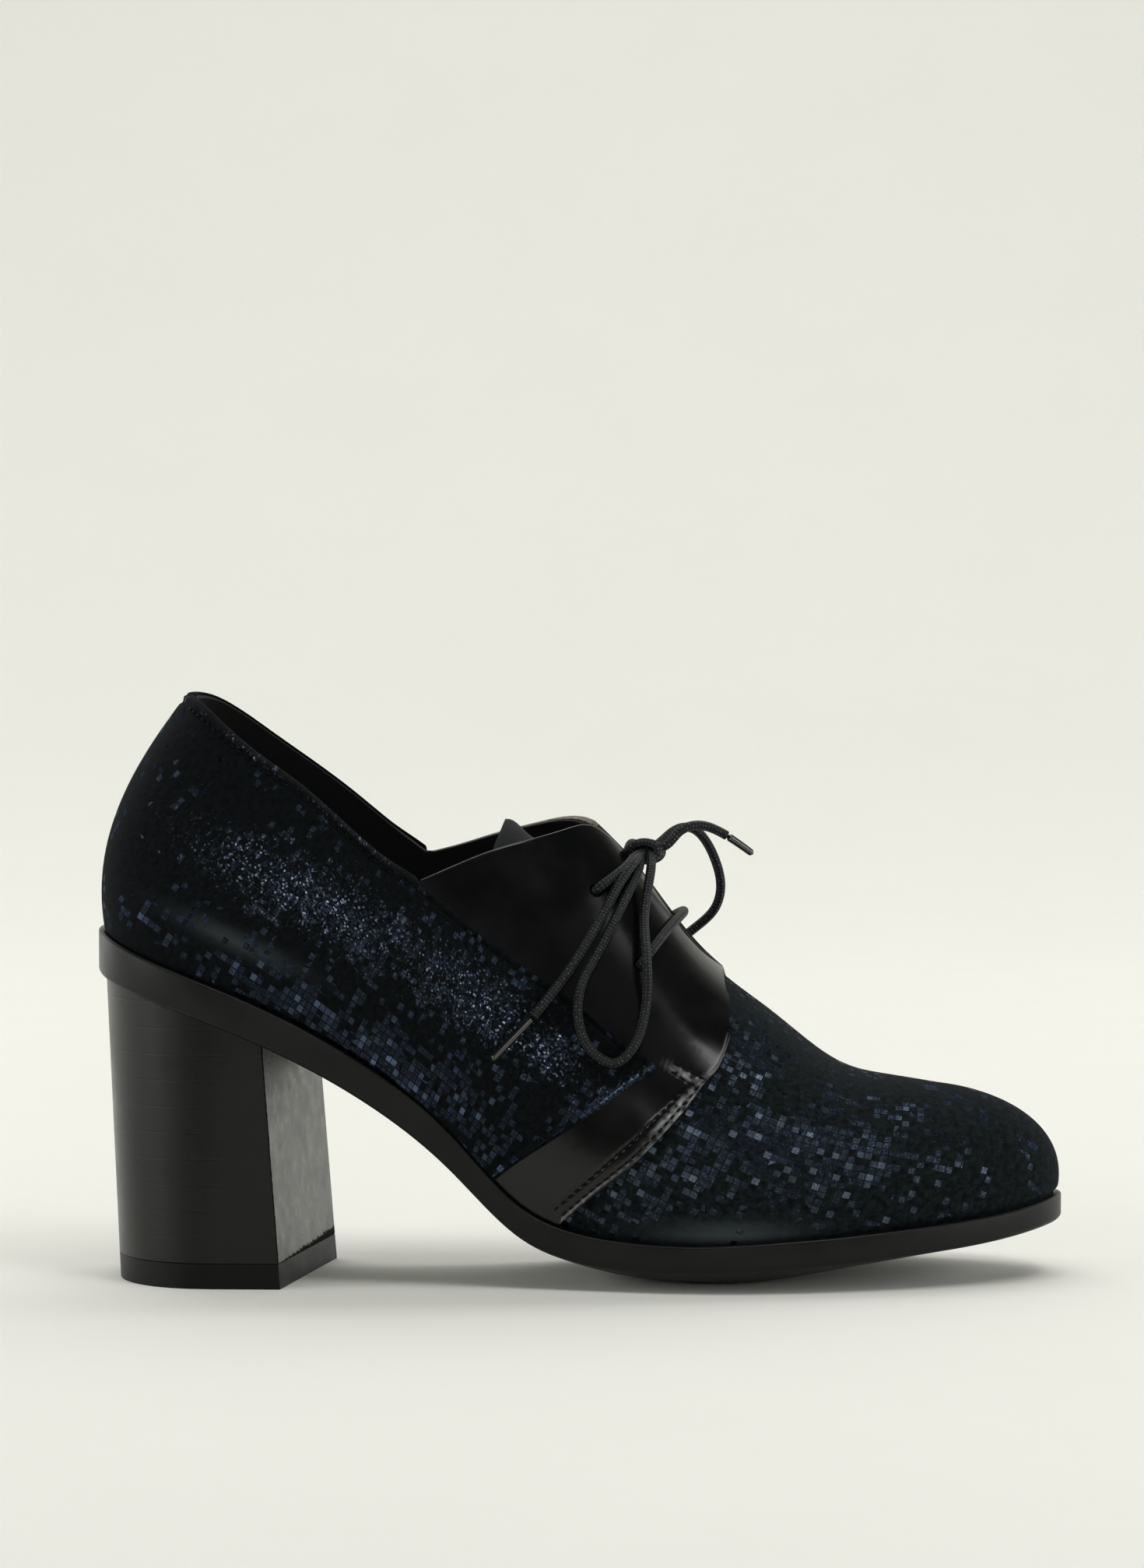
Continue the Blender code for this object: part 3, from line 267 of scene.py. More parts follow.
@dataclass(eq=False)
class Last:
    """The shoe's form: the outsole's outline and the surface that the upper is lasted over."""

    gap: float = 0.3
    tread_bow: float = 2.2
    throat_along: float = 150.0
    notch_along: float = 78.0
    station_step: float = 0.02
    share_step: float = 0.01
    share_limit: float = 0.985
    lowest_top: float = 0.3
    samples: int = 401
    rim_steps: int = 24
    ladder_steps: int = 50

    def __post_init__(self) -> None:
        """Fit every curve of the form once."""
        along, lateral, medial, spine = np.array(OUTLINE_ROWS).T
        self.edge_along = Loop(along, along)
        self.edge_across = Loop(lateral, medial)
        self.spine_along = Loop(spine, spine)
        columns = dict(zip(LAST_COLUMNS, np.array(LAST_ROWS).T))
        pairs = {"top_across": ("top_lateral", "top_medial"), "flare": ("flare_lateral", "flare_medial")}
        plain = ("inset", "top_along", "top_height", "wall", "shoulder", "crown", "lean")
        pairs.update({name: (name, name) for name in plain})
        self.curves = {name: Loop(columns[a], columns[b]) for name, (a, b) in pairs.items()}
        names = ("middle", "lateral", "medial", "thick")
        self.sole = {name: run_of(SOLE_ROWS, place + 1) for place, name in enumerate(names)}
        self.collar, self.facing_top, self.slit = (
            {side: run_of(rows, place + 1) for place, side in enumerate(Side)}
            for rows in (COLLAR_ROWS, FACING_TOP_ROWS, SLIT_ROWS))
        stations = np.linspace(0.0, TOE, TOE * self.rim_steps + 1)
        self.rim_along = np.array([self.edge_along(spot) for spot in stations])
        self.rim_lateral = np.array([self.edge_across(spot) for spot in stations])
        self.rim_medial = np.array([self.edge_across(LOOP - spot) for spot in stations])
        self.middle = np.array((
            (self.rim_along.min() + self.rim_along.max()) / 2.0,
            (self.rim_lateral.min() + self.rim_medial.max()) / 2.0,
            0.0,
        ))
        self.ladder = np.linspace(0.0, TOE, TOE * self.ladder_steps + 1)
        self.ladder_handles = np.array([self.section(spot) for spot in self.ladder])
        self.shares = np.linspace(0.0, 1.0, self.samples)

    def place(self, points: Array | Row) -> Array:
        """Scene metres of table points in millimetres."""
        return (np.asarray(points, dtype=float) - self.middle) * MM

    def edges_across(self, along: float) -> Pair:
        """Places across of the sole's lateral and medial edge."""
        return (float(np.interp(along, self.rim_along, self.rim_lateral)),
                float(np.interp(along, self.rim_along, self.rim_medial)))

    def underside(self, along: float, across: float) -> float:
        """Height of the outsole's underside.

        Args:
            along: place along the shoe.
            across: place across it.

        Returns:
            The height, never below the floor.
        """
        lateral, medial = self.edges_across(along)
        middle = (lateral + medial) / 2.0
        half = max((medial - lateral) / 2.0, 1.0)
        reach = min(abs(across - middle) / half, 1.0)
        low = float(self.sole["middle"](along))
        high = float(self.sole["lateral" if across < middle else "medial"](along))
        return max(low + (high - low) * reach ** self.tread_bow, 0.0)

    def sole_top(self, along: float, across: float) -> float:
        """Height of the outsole's upper face."""
        return self.underside(along, across) + float(self.sole["thick"](along))

    def spine(self, station: float) -> Array:
        """Where the fan of a station starts on the middle line."""
        along = self.spine_along(station)
        return np.array((along, sum(self.edges_across(along)) / 2.0))

    def fan(self, station: float, inset: float) -> Array:
        """A place on the sole some millimetres in from its edge.

        Args:
            station: place around the loop.
            inset: distance in from the edge.

        Returns:
            Place along and across.
        """
        edge = np.array((self.edge_along(station), self.edge_across(station)))
        inward = self.spine(station) - edge
        return edge + inward * (inset / np.linalg.norm(inward))

    @cache
    def section(self, station: float) -> Array:
        """Handles of the section's curve from the feather edge up to the crest.

        Args:
            station: place around the loop.

        Returns:
            Four points of a cubic Bezier curve.
        """
        value = {name: curve(station) for name, curve in self.curves.items()}
        foot = self.fan(station, value["inset"])
        top = np.array((value["top_along"], value["top_across"]))
        low = self.sole_top(*foot) + self.gap
        rise = value["top_height"] - low
        width = np.linalg.norm(foot - top)
        outward = (foot - top) / width
        crown = outward * value["crown"] * width
        shoulder = low + value["shoulder"] * rise + value["lean"] * crown[0]
        return np.array((
            (*foot, low),
            (*(foot + outward * value["flare"]), low + value["wall"] * rise),
            (*(top + crown), shoulder),
            (*top, value["top_height"]),
        ))

    @staticmethod
    def weights(shares: Values) -> Array:
        """Bezier weights of the four handles at one or more shares."""
        rest = 1.0 - shares
        inner = 3.0 * rest * shares
        return np.stack((rest ** 3, inner * rest, inner * shares, shares ** 3), -1)

    def points(self, station: float, shares: Values, lift: Values = 0.0) -> Array:
        """Points of the upper's outer surface, lifted along its outward normal.

        Args:
            station: place around the loop.
            shares: shares of the way from feather edge to crest.
            lift: distance out along the normal.

        Returns:
            Points in millimetres, one for each share.
        """
        shares = np.asarray(shares, dtype=float)
        spots = self.weights(shares) @ self.section(station)
        middle = np.clip(shares, self.share_step, self.share_limit)
        ahead = self.weights(middle) @ self.section(station + self.station_step)
        behind = self.weights(middle) @ self.section(station - self.station_step)
        above = self.weights(middle + self.share_step) @ self.section(station)
        below = self.weights(middle - self.share_step) @ self.section(station)
        normal = np.cross(ahead - behind, above - below)
        normal = normal / np.linalg.norm(normal, axis=-1, keepdims=True)
        return spots + normal * np.asarray(lift, dtype=float)[..., None]

    def station_at(self, along: float, side: Side, share: float = 0.5) -> float:
        """Station whose section passes a place along the shoe.

        Args:
            along: place along.
            side: lateral or medial.
            share: share of the section that is measured.

        Returns:
            The station.
        """
        reached = self.ladder_handles[:, :, 0] @ self.weights(share)
        station = float(np.interp(along, np.maximum.accumulate(reached), self.ladder))
        return station if side is Side.LATERAL else LOOP - station

    def first_share(self, tests: Array, start: float = 0.0) -> float:
        """Share at which a row of tests over the section first turns positive.

        Args:
            tests: one value for each sampled share.
            start: share below which tests are left out.

        Returns:
            The share, or 1 where the tests never turn positive.
        """
        inside = np.nonzero((tests > 0.0) & (self.shares >= start))[0]
        if len(inside) == 0:
            return 1.0
        high = int(inside[0])
        if high == 0 or tests[high - 1] > 0.0:
            return float(self.shares[high])
        part = -tests[high - 1] / (tests[high] - tests[high - 1])
        return float(self.shares[high - 1] + part * (self.shares[high] - self.shares[high - 1]))

    def share_at_height(self, station: float, height: float) -> float:
        """Share of a section at which it reaches a height."""
        return self.first_share((self.weights(self.shares) @ self.section(station))[:, 2] - height)

    def side_of(self, station: float) -> Side:
        """The side on which a loop station lies."""
        return Side.LATERAL if station % LOOP <= TOE else Side.MEDIAL

    def top_share(self, station: float) -> float:
        """Share at which the upper ends: at the collar, the facing or the slit.

        Args:
            station: place around the loop.

        Returns:
            The share of the section.
        """
        side = self.side_of(station)
        spots = self.weights(self.shares) @ self.section(station)
        crest = spots[-1]
        if crest[0] > self.throat_along - self.gap:
            return 1.0
        collar = self.collar[side](spots[:, 0])
        facing = self.facing_top[side](spots[:, 0])
        edge = np.where(spots[:, 0] < self.notch_along, collar, facing)
        share = self.first_share(spots[:, 2] - edge, self.lowest_top)
        if crest[0] > SLIT_ROWS[0][0]:
            inside = self.slit[side](spots[:, 0]) - np.abs(crest[1] - spots[:, 1])
            share = min(share, self.first_share(inside, self.lowest_top))
        return share

    def spot(self, along: float, height: float, side: Side) -> Pair:
        """Station and share of a place seen from the side."""
        station = self.station_at(along, side)
        return station, self.share_at_height(station, height)

    def loop_stations(self, per_station: int) -> list[float]:
        """Stations once around the loop, with the first repeated at the end."""
        side = [step / per_station for step in range(TOE * per_station + 1)]
        return side + [LOOP - station for station in side[-2::-1]]


LAST = Last()


def linear(colour: str) -> tuple[float, float, float, float]:
    """Linear red, green, blue and alpha of an sRGB hex colour.

    Args:
        colour: six hex digits after a hash sign.

    Returns:
        The colour as a shader socket takes it.
    """
    parts = [int(colour[place:place + 2], 16) / 255.0 for place in (1, 3, 5)]
    lit = [part / 12.92 if part <= 0.04045 else ((part + 0.055) / 1.055) ** 2.4 for part in parts]
    return lit[0], lit[1], lit[2], 1.0


def fill(node: bpy.types.Node, inputs: dict | Sequence) -> None:
    """Set a node's inputs, or link them to other nodes.

    Args:
        node: the node.
        inputs: values, hex colours or other nodes' outputs, by socket or in the sockets' order.
    """
    for name, value in inputs.items() if isinstance(inputs, dict) else enumerate(inputs):
        if isinstance(value, bpy.types.NodeSocket):
            node.id_data.links.new(value, node.inputs[name])
        else:
            node.inputs[name].default_value = linear(value) if isinstance(value, str) else value


def add_node(tree: bpy.types.NodeTree, kind: str, inputs: dict | Sequence = (), out: str | None = None,
             **settings: str | bool) -> bpy.types.NodeSocket:
    """Add one node with its settings and links.

    Args:
        tree: the material's node tree.
        kind: the node's type without its ShaderNode prefix, and its mode after a dot.
        inputs: what its inputs are filled with.
        out: the wanted output, where that isn't the first one in use.
        settings: the node's own properties.

    Returns:
        The output, whose node has the others.
    """
    kind, _, mode = kind.partition(".")
    node = tree.nodes.new("ShaderNode" + kind)
    if mode:
        setattr(node, NODE_MODES[kind], mode)
    for name, value in settings.items():
        setattr(node, name, value)
    fill(node, inputs)
    return node.outputs[out] if out else next(socket for socket in node.outputs if socket.enabled)


@dataclass(frozen=True)
class Finish:
    """One real material, named for what it is made of. Its sizes are millimetres."""

    name: str
    colour: str
    roughness: float
    coat: float = 0.0
    mirror: float = 0.5

    def begin(self) -> tuple[Material, Callable[..., bpy.types.NodeSocket], bpy.types.Node]:
        """A material with its steady values set.

        Returns:
            The material, what adds a node to it, and its shader.
        """
        material = bpy.data.materials.new(self.name)
        material.use_nodes = True
        material.diffuse_color = linear(self.colour)
        shader = material.node_tree.nodes[SHADER]
        fill(shader, {"Base Color": self.colour, "Roughness": self.roughness,
                      "Coat Weight": self.coat, "Specular IOR Level": self.mirror})
        return material, partial(add_node, material.node_tree), shader

    def material(self) -> Material:
        """The finished material."""
        return self.begin()[0]


@dataclass(frozen=True)
class FoilSuede(Finish):
    """Brushed suede hot-stamped with small squares of metal foil.

    The nap is near black with a faint navy sheen. The foil squares lie on a grid; many have rubbed
    off, and each one left is tilted and crinkled a little, so that they glint one by one. A few
    squares, the flakes of a crumbled band and the edge beads also get painted glints and
    highlights, and rubbed patches of nap are painted paler as a soft highlight. Real nap and
    crinkles are too fine to show, so both are drawn as coarse as they need to be seen.
    """

    foil_dark: str = "#191e26"
    # Lighter foil tone, for a fine dotted tone and for the painted glints and highlights.
    foil_light: str = "#52627a"
    # Painted glint colour of the brightest flakes.
    foil_glint: str = "#b0c2de"
    foil_gloss: float = 0.17
    pitch: float = 1.75
    turn: float = 15.0
    tilt: float = 0.13
    ragged: float = 0.1
    square_edge: Pair = (0.46, 0.51)
    patch: float = 12.0
    uneven: float = 0.22
    crinkle: float = 0.36
    crinkle_depth: float = 0.055
    worn: Pair = (0.26, 0.4)
    flake: float = 0.45
    flake_share: float = 0.55
    rarity: float = 9.0
    dot_rarity: float = 3.0
    dot_light: float = 0.18
    nap: float = 0.3
    nap_depth: float = 0.14
    nap_light: str = "#1c2324"
    tuft: float = 1.7
    # Painted soft highlight of the rubbed nap.
    rubbed_sheen: str = "#343a3b"
    rubbed_rough: float = 0.42
    rubbed_nap: float = 0.1
    gleam: str = "#a4abb6"
    sheen: float = 0.015
    sheen_rough: float = 0.5
    sheen_tint: str = "#8d9ab4"

    def material(self) -> Material:
        """The suede with its foil grid.

        Returns:
            The material, which reads a UV map in millimetres and painted attributes.
        """
        material, add, shader = self.begin()
        uv = add("TexCoord", out="UV")
        shares, specks_and_glints, painted_shine, rubbed_sheen = (add("Attribute", out="Fac", attribute_name=name)
                                         for name in FOIL_LAYERS)
        # The grid: one draw for each cell, and how far a spot is from the middle of its cell.
        cells = add("Mapping", {"Vector": uv, "Rotation": (0.0, 0.0, math.radians(self.turn)),
                                "Scale": (1.0 / self.pitch, 1.0 / self.pitch, 1.0)})
        cell = add("VectorMath.FLOOR", (cells,))
        chance = add("TexWhiteNoise.2D", {"Vector": cell})
        draws = chance.node.outputs["Color"]
        inside = add("VectorMath.FRACTION", (cells,))
        centred = add("VectorMath.SUBTRACT", (inside, (0.5, 0.5, 0.0)))
        reach = add("SeparateXYZ", (add("VectorMath.ABSOLUTE", (centred,)),))
        far = add("Math.MAXIMUM", (reach, reach.node.outputs["Y"]))
        # The squares that are left, with ragged and worn edges.
        fine = add("TexNoise.2D", {"Vector": uv, "Scale": 1.0 / self.crinkle, "Roughness": 0.55})
        ragged = add("Math.MULTIPLY_ADD", (fine, self.ragged, far))
        square = add("MapRange", (ragged, *self.square_edge, 1.0, 0.0))
        patches = add("TexNoise.2D", {"Vector": uv, "Scale": 1.0 / self.patch})
        uneven = add("MapRange", (patches, 0.3, 0.7, -self.uneven, self.uneven))
        painted = add("Math.ADD", (shares, uneven))
        cover = add("Math.ADD", (painted, painted_shine))
        kept = add("Math.LESS_THAN", (chance, cover))
        whole = add("Math.MULTIPLY", (square, kept))
        stamped = add("Math.MULTIPLY", (whole, add("MapRange", (fine, *self.worn))))
        # Where squares have crumbled, flakes of foil stay instead.
        cracks = add("TexVoronoi.2D", {"Vector": uv, "Scale": 1.0 / self.flake}, "Color")
        red, green, blue = add("SeparateColor", (cracks,)).node.outputs
        hold = add("Math.MULTIPLY", (specks_and_glints, self.flake_share))
        held = add("Math.LESS_THAN", (green, hold))
        foil = add("Mix", {0: specks_and_glints, 2: stamped, 3: held})
        # Colours: few squares and flakes get painted glints, and the nap is tufted and rubbed in places.
        draw = add("SeparateColor", (draws,), "Blue")
        rare = add("Math.POWER", (draw, self.rarity))
        seldom = add("Math.MULTIPLY", (rare, painted))
        dots = add("Math.POWER", (blue, self.dot_rarity))
        dotted = add("Math.MULTIPLY_ADD", (dots, self.dot_light, seldom))
        # Painted glints on few squares over a fine dotted tone, and the painted highlight on the edge
        # beads.
        dots_and_painted_glints = add("Math.MAXIMUM", (dotted, painted_shine), use_clamp=True)
        # Painted glints on the brightest flakes.
        glint = add("Math.POWER", (red, self.rarity))
        glints = add("Math.MULTIPLY", (glint, specks_and_glints))
        tufts = add("TexNoise.2D", {"Vector": uv, "Scale": 1.0 / self.tuft, "Detail": 4.0,
                                    "Roughness": 0.75})
        ruffled = add("MapRange", (tufts, 0.35, 0.75))
        sheet = add("Mix.RGBA", {0: dots_and_painted_glints, 6: self.foil_dark, 7: self.foil_light})
        leaf = add("Mix.RGBA", {0: glints, 6: sheet, 7: self.foil_glint})
        pile = add("Mix.RGBA", {0: ruffled, 6: self.colour, 7: self.nap_light})
        # Rubbed nap: smoother and glossier, and painted paler as a soft highlight.
        nap = add("Mix.RGBA", {0: rubbed_sheen, 6: pile, 7: self.rubbed_sheen})
        flat = add("MapRange", (rubbed_sheen, 0.0, 1.0, self.roughness, self.rubbed_rough))
        # Relief: each square leans its own way and is crinkled, and the nap stands up between them.
        lean = add("VectorMath.SUBTRACT", (draws, (0.5, 0.5, 0.0)))
        tilt = add("VectorMath.DOT_PRODUCT", (centred, lean))
        leaning = add("Math.MULTIPLY", (tilt, self.pitch * self.tilt))
        crinkled = add("Math.MULTIPLY_ADD", (fine, self.crinkle_depth, leaning))
        fibres = add("TexNoise.2D", {"Vector": uv, "Scale": 1.0 / self.nap, "Detail": 3.0,
                                     "Roughness": 0.7})
        lying = add("MapRange", (rubbed_sheen, 0.0, 1.0, self.nap_depth, self.nap_depth * self.rubbed_nap))
        napped = add("Math.MULTIPLY", (fibres, lying))
        height = add("Mix", {0: whole, 2: napped, 3: crinkled})
        fill(shader, {
            "Base Color": add("Mix.RGBA", {0: foil, 6: nap, 7: leaf}),
            "Metallic": foil,
            "Roughness": add("Mix", {0: foil, 2: flat, 3: self.foil_gloss}),
            "Normal": add("Bump", {"Height": height, "Distance": MM}),
            "Specular Tint": self.gleam,
            "Sheen Weight": self.sheen,
            "Sheen Roughness": self.sheen_rough,
            "Sheen Tint": self.sheen_tint,
        })
        return material


@dataclass(frozen=True)
class Mottled(Finish):
    """A surface whose tone, gloss and relief wander at two real sizes."""

    other: str = "#000000"
    rough_other: float = 0.5
    broad: float = 12.0
    grain: float = 0.6
    grain_depth: float = 0.03
    broad_depth: float = 0.05
    sheen: float = 0.0
    coat_rough: float = 0.08

    def material(self) -> Material:
        """The two sizes of pattern on tone, gloss and relief.

        Returns:
            The material, which reads Object coordinates.
        """
        material, add, shader = self.begin()
        spot = add("TexCoord", out="Object")
        broad = add("TexNoise", {"Vector": spot, "Scale": 1.0 / (self.broad * MM), "Detail": 4.0,
                                "Roughness": 0.55})
        grain = add("TexNoise", {"Vector": spot, "Scale": 1.0 / (self.grain * MM)})
        blend = add("MapRange", (broad, 0.35, 0.68))
        wavy = add("Bump", {"Height": broad, "Distance": self.broad_depth * MM})
        fill(shader, {
            "Base Color": add("Mix.RGBA", {0: blend, 6: self.colour, 7: self.other}),
            "Roughness": add("MapRange", (blend, 0.0, 1.0, self.roughness, self.rough_other)),
            "Normal": add("Bump", {"Height": grain, "Distance": self.grain_depth * MM, "Normal": wavy}),
            "Sheen Weight": self.sheen,
            "Coat Roughness": self.coat_rough,
        })
        return material


@dataclass(frozen=True)
class GlazedCalf(Mottled):
    """Glazed leather, duller where stitches stretch its grain, and there painted pale as a highlight."""

    # Painted pale highlight along the stitched lip.
    lip_highlight_tint: str = "#b2b4b4"
    stretched_rough: float = 0.34
    breaks: float = 1.6

    def material(self) -> Material:
        """The mottled material with its stretched grain and painted lip highlight.

        Returns:
            The material, which reads Object coordinates and a painted attribute.
        """
        material = super().material()
        shader = material.node_tree.nodes[SHADER]
        add = partial(add_node, material.node_tree)
        spot = add("TexCoord", out="Object")
        breaks = add("TexNoise", {"Vector": spot, "Scale": 1.0 / (self.breaks * MM)})
        lip_highlight = add("Attribute", out="Fac", attribute_name=LIP_HIGHLIGHT_LAYER)
        # Share of the painted highlight, broken up along the lip.
        highlight_share = add("Math.MULTIPLY", (lip_highlight, add("MapRange", (breaks, 0.3, 0.6))))
        colour, gloss = (shader.inputs[name].links[0].from_socket for name in ("Base Color", "Roughness"))
        fill(shader, {
            "Base Color": add("Mix.RGBA", {0: highlight_share, 6: colour, 7: self.lip_highlight_tint}),
            "Roughness": add("Mix", {0: highlight_share, 2: gloss, 3: self.stretched_rough}),
        })
        return material


@dataclass(frozen=True)
class StackedHeel(Finish):
    """A heel of stacked leather lifts, stained black and burnished: faint level lines in a satin gloss."""

    lift: float = 3.1
    line: float = 0.09
    line_depth: float = 0.02
    wander: float = 0.5
    burnish: float = 16.0
    duller: float = 0.08
    glossier: float = 0.07
    fibre: float = 4.0
    fibre_depth: float = 0.012
    coat_rough: float = 0.2

    def material(self) -> Material:
        """The burnished leather with its level lines.

        Returns:
            The material, which reads Object coordinates.
        """
        material, add, shader = self.begin()
        spot = add("TexCoord", out="Object")
        broad = add("TexNoise", {"Vector": spot, "Scale": 1.0 / (self.burnish * MM), "Detail": 5.0,
                                "Roughness": 0.6})
        level = add("SeparateXYZ", (spot,), "Z")
        wander = add("Math.MULTIPLY_ADD", (broad, self.wander * MM, level))
        phase = add("Math.MULTIPLY", (wander, 1.0 / (self.lift * MM)))
        saw = add("Math.PINGPONG", (phase, 1.0))
        streak = add("Mapping", {"Vector": spot, "Scale": (1.0, 1.0, 9.0)})
        fibre = add("TexNoise", {"Vector": streak, "Scale": 1.0 / (self.fibre * MM), "Detail": 3.0})
        line = add("MapRange", (saw, 0.0, self.line))
        lined = add("Bump", {"Height": line, "Distance": self.line_depth * MM, "Strength": 0.6})
        fill(shader, {
            "Roughness": add("MapRange", (broad, 0.3, 0.7, self.roughness - self.glossier,
                                          self.roughness + self.duller)),
            "Normal": add("Bump", {"Height": fibre, "Distance": self.fibre_depth * MM, "Strength": 0.7,
                                   "Normal": lined}),
            "Coat Roughness": self.coat_rough,
        })
        return material


@dataclass(frozen=True)
class LacqueredBreast(Finish):
    """The heel's flat front: sanded, lacquered and scuffed, with ragged black cement along two edges."""

    worn: str = "#2a2925"
    duller: float = 0.14
    scuff: float = 5.0
    scratch: float = 0.45
    scratch_tilt: float = 24.0
    scratch_depth: float = 0.012
    cement: str = "#040404"
    cement_rough: float = 0.8
    cement_mirror: float = 0.05
    cement_edge: float = 0.15
    cement_low: float = 5.6
    cement_rise: float = 0.035
    low_reach: float = 3.2
    near_edge: float = -32.8
    near_lean: float = 0.032
    near_reach: float = 1.5
    tear: float = 1.6

    def material(self) -> Material:
        """The scuffed lacquer with its cement.

        Returns:
            The material, which reads Object coordinates.
        """
        material, add, shader = self.begin()
        spot = add("TexCoord", out="Object")
        scuffs = add("TexNoise", {"Vector": spot, "Scale": 1.0 / (self.scuff * MM), "Detail": 6.0,
                                 "Roughness": 0.68})
        drawn = add("Mapping", {"Vector": spot, "Rotation": (math.radians(self.scratch_tilt), 0.0, 0.0),
                                "Scale": (1.0, 0.1, 1.0)})
        scratches = add("TexNoise", {"Vector": drawn, "Scale": 1.0 / (self.scratch * MM), "Detail": 3.0})
        ragged = add("TexNoise", {"Vector": spot, "Scale": 1.0 / (self.tear * MM), "Detail": 4.0,
                                 "Roughness": 0.7})
        place = add("VectorMath.SCALE", {0: spot, "Scale": 1.0 / MM})
        masks, soft = [], self.cement_edge
        for way, start, reach in (((0.0, -self.cement_rise, 1.0), self.cement_low, self.low_reach),
                                  ((0.0, 1.0, -self.near_lean), self.near_edge, self.near_reach)):
            distance = add("VectorMath.DOT_PRODUCT", (place, way))
            torn = add("Math.MULTIPLY_ADD", (ragged, -reach, distance))
            masks.append(add("MapRange", (torn, start - soft, start + soft, 1.0, 0.0)))
        dark = add("Math.MAXIMUM", masks)
        blend = add("MapRange", (scuffs, 0.36, 0.66))
        lacquer = add("Mix.RGBA", {0: blend, 6: self.colour, 7: self.worn})
        gloss = add("MapRange", (blend, 0.0, 1.0, self.roughness, self.roughness + self.duller))
        fill(shader, {
            "Base Color": add("Mix.RGBA", {0: dark, 6: lacquer, 7: self.cement}),
            "Roughness": add("Mix", {0: dark, 2: gloss, 3: self.cement_rough}),
            "Specular IOR Level": add("MapRange", (dark, 0.0, 1.0, self.mirror, self.cement_mirror)),
            "Normal": add("Bump", {"Height": scratches, "Distance": self.scratch_depth * MM}),
        })
        return material


@dataclass(frozen=True)
class WaxedBraid(Finish):
    """A round lace braided from waxed cotton: small crowns of thread, some given a painted highlight.

    The braid of a real lace is too fine to show, so its lay is drawn about twice as long.
    """

    # Painted highlight colour on some of the braid's crowns.
    crown: str = "#6a7674"
    crown_rise: float = 0.16
    lay: float = 1.7
    around: float = 1.8
    speck: float = 0.9
    coat_rough: float = 0.3

    def material(self) -> Material:
        """The crossing strands with a painted highlight on some of their crowns.

        Returns:
            The material, which reads a UV map in millimetres along and around the cord.
        """
        material, add, shader = self.begin()
        uv = add("TexCoord", out="UV")
        rises = []
        for hand in (-1.0, 1.0):
            wave = (math.tau / self.lay, hand * math.tau / self.around, 0.0)
            angle = add("VectorMath.DOT_PRODUCT", (uv, wave))
            rises.append(add("Math.SINE", (angle,)))
        height = add("Math.MULTIPLY", rises)
        speck = add("TexNoise.2D", {"Vector": uv, "Scale": 1.0 / self.speck})
        tops, pick = add("MapRange", (height, 0.55, 1.0)), add("MapRange", (speck, 0.42, 0.62))
        # Painted highlights on some crowns.
        lit = add("Math.MULTIPLY", (tops, pick))
        fill(shader, {
            "Base Color": add("Mix.RGBA", {0: lit, 6: self.colour, 7: self.crown}),
            "Normal": add("Bump", {"Height": height, "Distance": self.crown_rise * MM, "Strength": 0.8}),
            "Coat Roughness": self.coat_rough,
        })
        return material


# Goat suede, brushed and hot-stamped with foil, for the vamp over the toe: lighter, greyer, duller squares.
VAMP_SUEDE = FoilSuede("foil_stamped_suede_vamp", "#080b0c", 0.95, mirror=0.12, foil_dark="#1f252d",
                       foil_light="#748294", foil_gloss=0.27)
# The same suede cut on a slant for the quarters: deep blue squares and a band of crumbled foil.
# Its crumbled band carries painted glints, and its edge beads a painted highlight.
QUARTER_SUEDE = FoilSuede("foil_stamped_suede_quarter", "#070909", 0.95, mirror=0.12, nap_light="#111516",
                          turn=32.0)
# Box calf, glazed under a hot roller: near black with clear reflections, slightly wavy.
# A painted pale highlight runs along its stitched lip, where the grain is also duller.
POLISHED_CALF = GlazedCalf("glazed_box_calf", "#040505", 0.15, mirror=0.34, other="#080a08",
                           rough_other=0.21, broad=9.0, grain=0.8, grain_depth=0.004)
# The cut edge of the calf, left raw: pale fibres.
RAW_EDGE = Mottled("raw_cut_leather_edge", "#565049", 0.85, other="#8b8375", rough_other=0.95,
                   broad=2.5, grain=0.35, grain_depth=0.12, broad_depth=0.1)
# Edge ink on the front edge of the facing: dull black.
INKED_EDGE = Mottled("inked_leather_edge", "#0d0c0c", 0.55, other="#191817", rough_other=0.7,
                     broad=3.0, grain=0.4, grain_depth=0.06)
# Pigskin lining, dyed charcoal: matt, with pores drawn coarser than real ones so that they show.
LINING = Mottled("dyed_pigskin_lining", "#040505", 0.75, mirror=0.25, other="#080a0a", rough_other=0.85,
                 broad=10.0, grain=0.7, grain_depth=0.08)
# Suede split for the tongue, brushed: soft grey bloom at glancing light.
TONGUE_SUEDE = Mottled("brushed_split_tongue", "#0c1010", 0.9, other="#171b1a", rough_other=0.95,
                       broad=6.0, grain=0.4, grain_depth=0.12, sheen=0.15)
# Moulded sole rubber, buffed: dark grey black, semi matt with faint scuffs.
SOLE_RUBBER = Mottled("buffed_sole_rubber", "#080907", 0.34, mirror=0.21, other="#10110e", rough_other=0.46,
                      broad=14.0, grain=0.5, grain_depth=0.025, broad_depth=0.04)
# Moulded rubber of the heel's top piece: black and duller than the sole.
TOP_RUBBER = Mottled("moulded_heel_rubber", "#070706", 0.42, mirror=0.16, other="#0a0a09", rough_other=0.5,
                     broad=9.0, grain=0.5, broad_depth=0.03)
# Leather lifts, stacked, stained and burnished: satin black with level lines.
STACK = StackedHeel("burnished_stacked_leather", "#0a0a07", 0.3, mirror=0.28)
# Sanded leather under clear lacquer: a grey glare with scuffs.
BREAST = LacqueredBreast("lacquered_heel_breast", "#161614", 0.25)
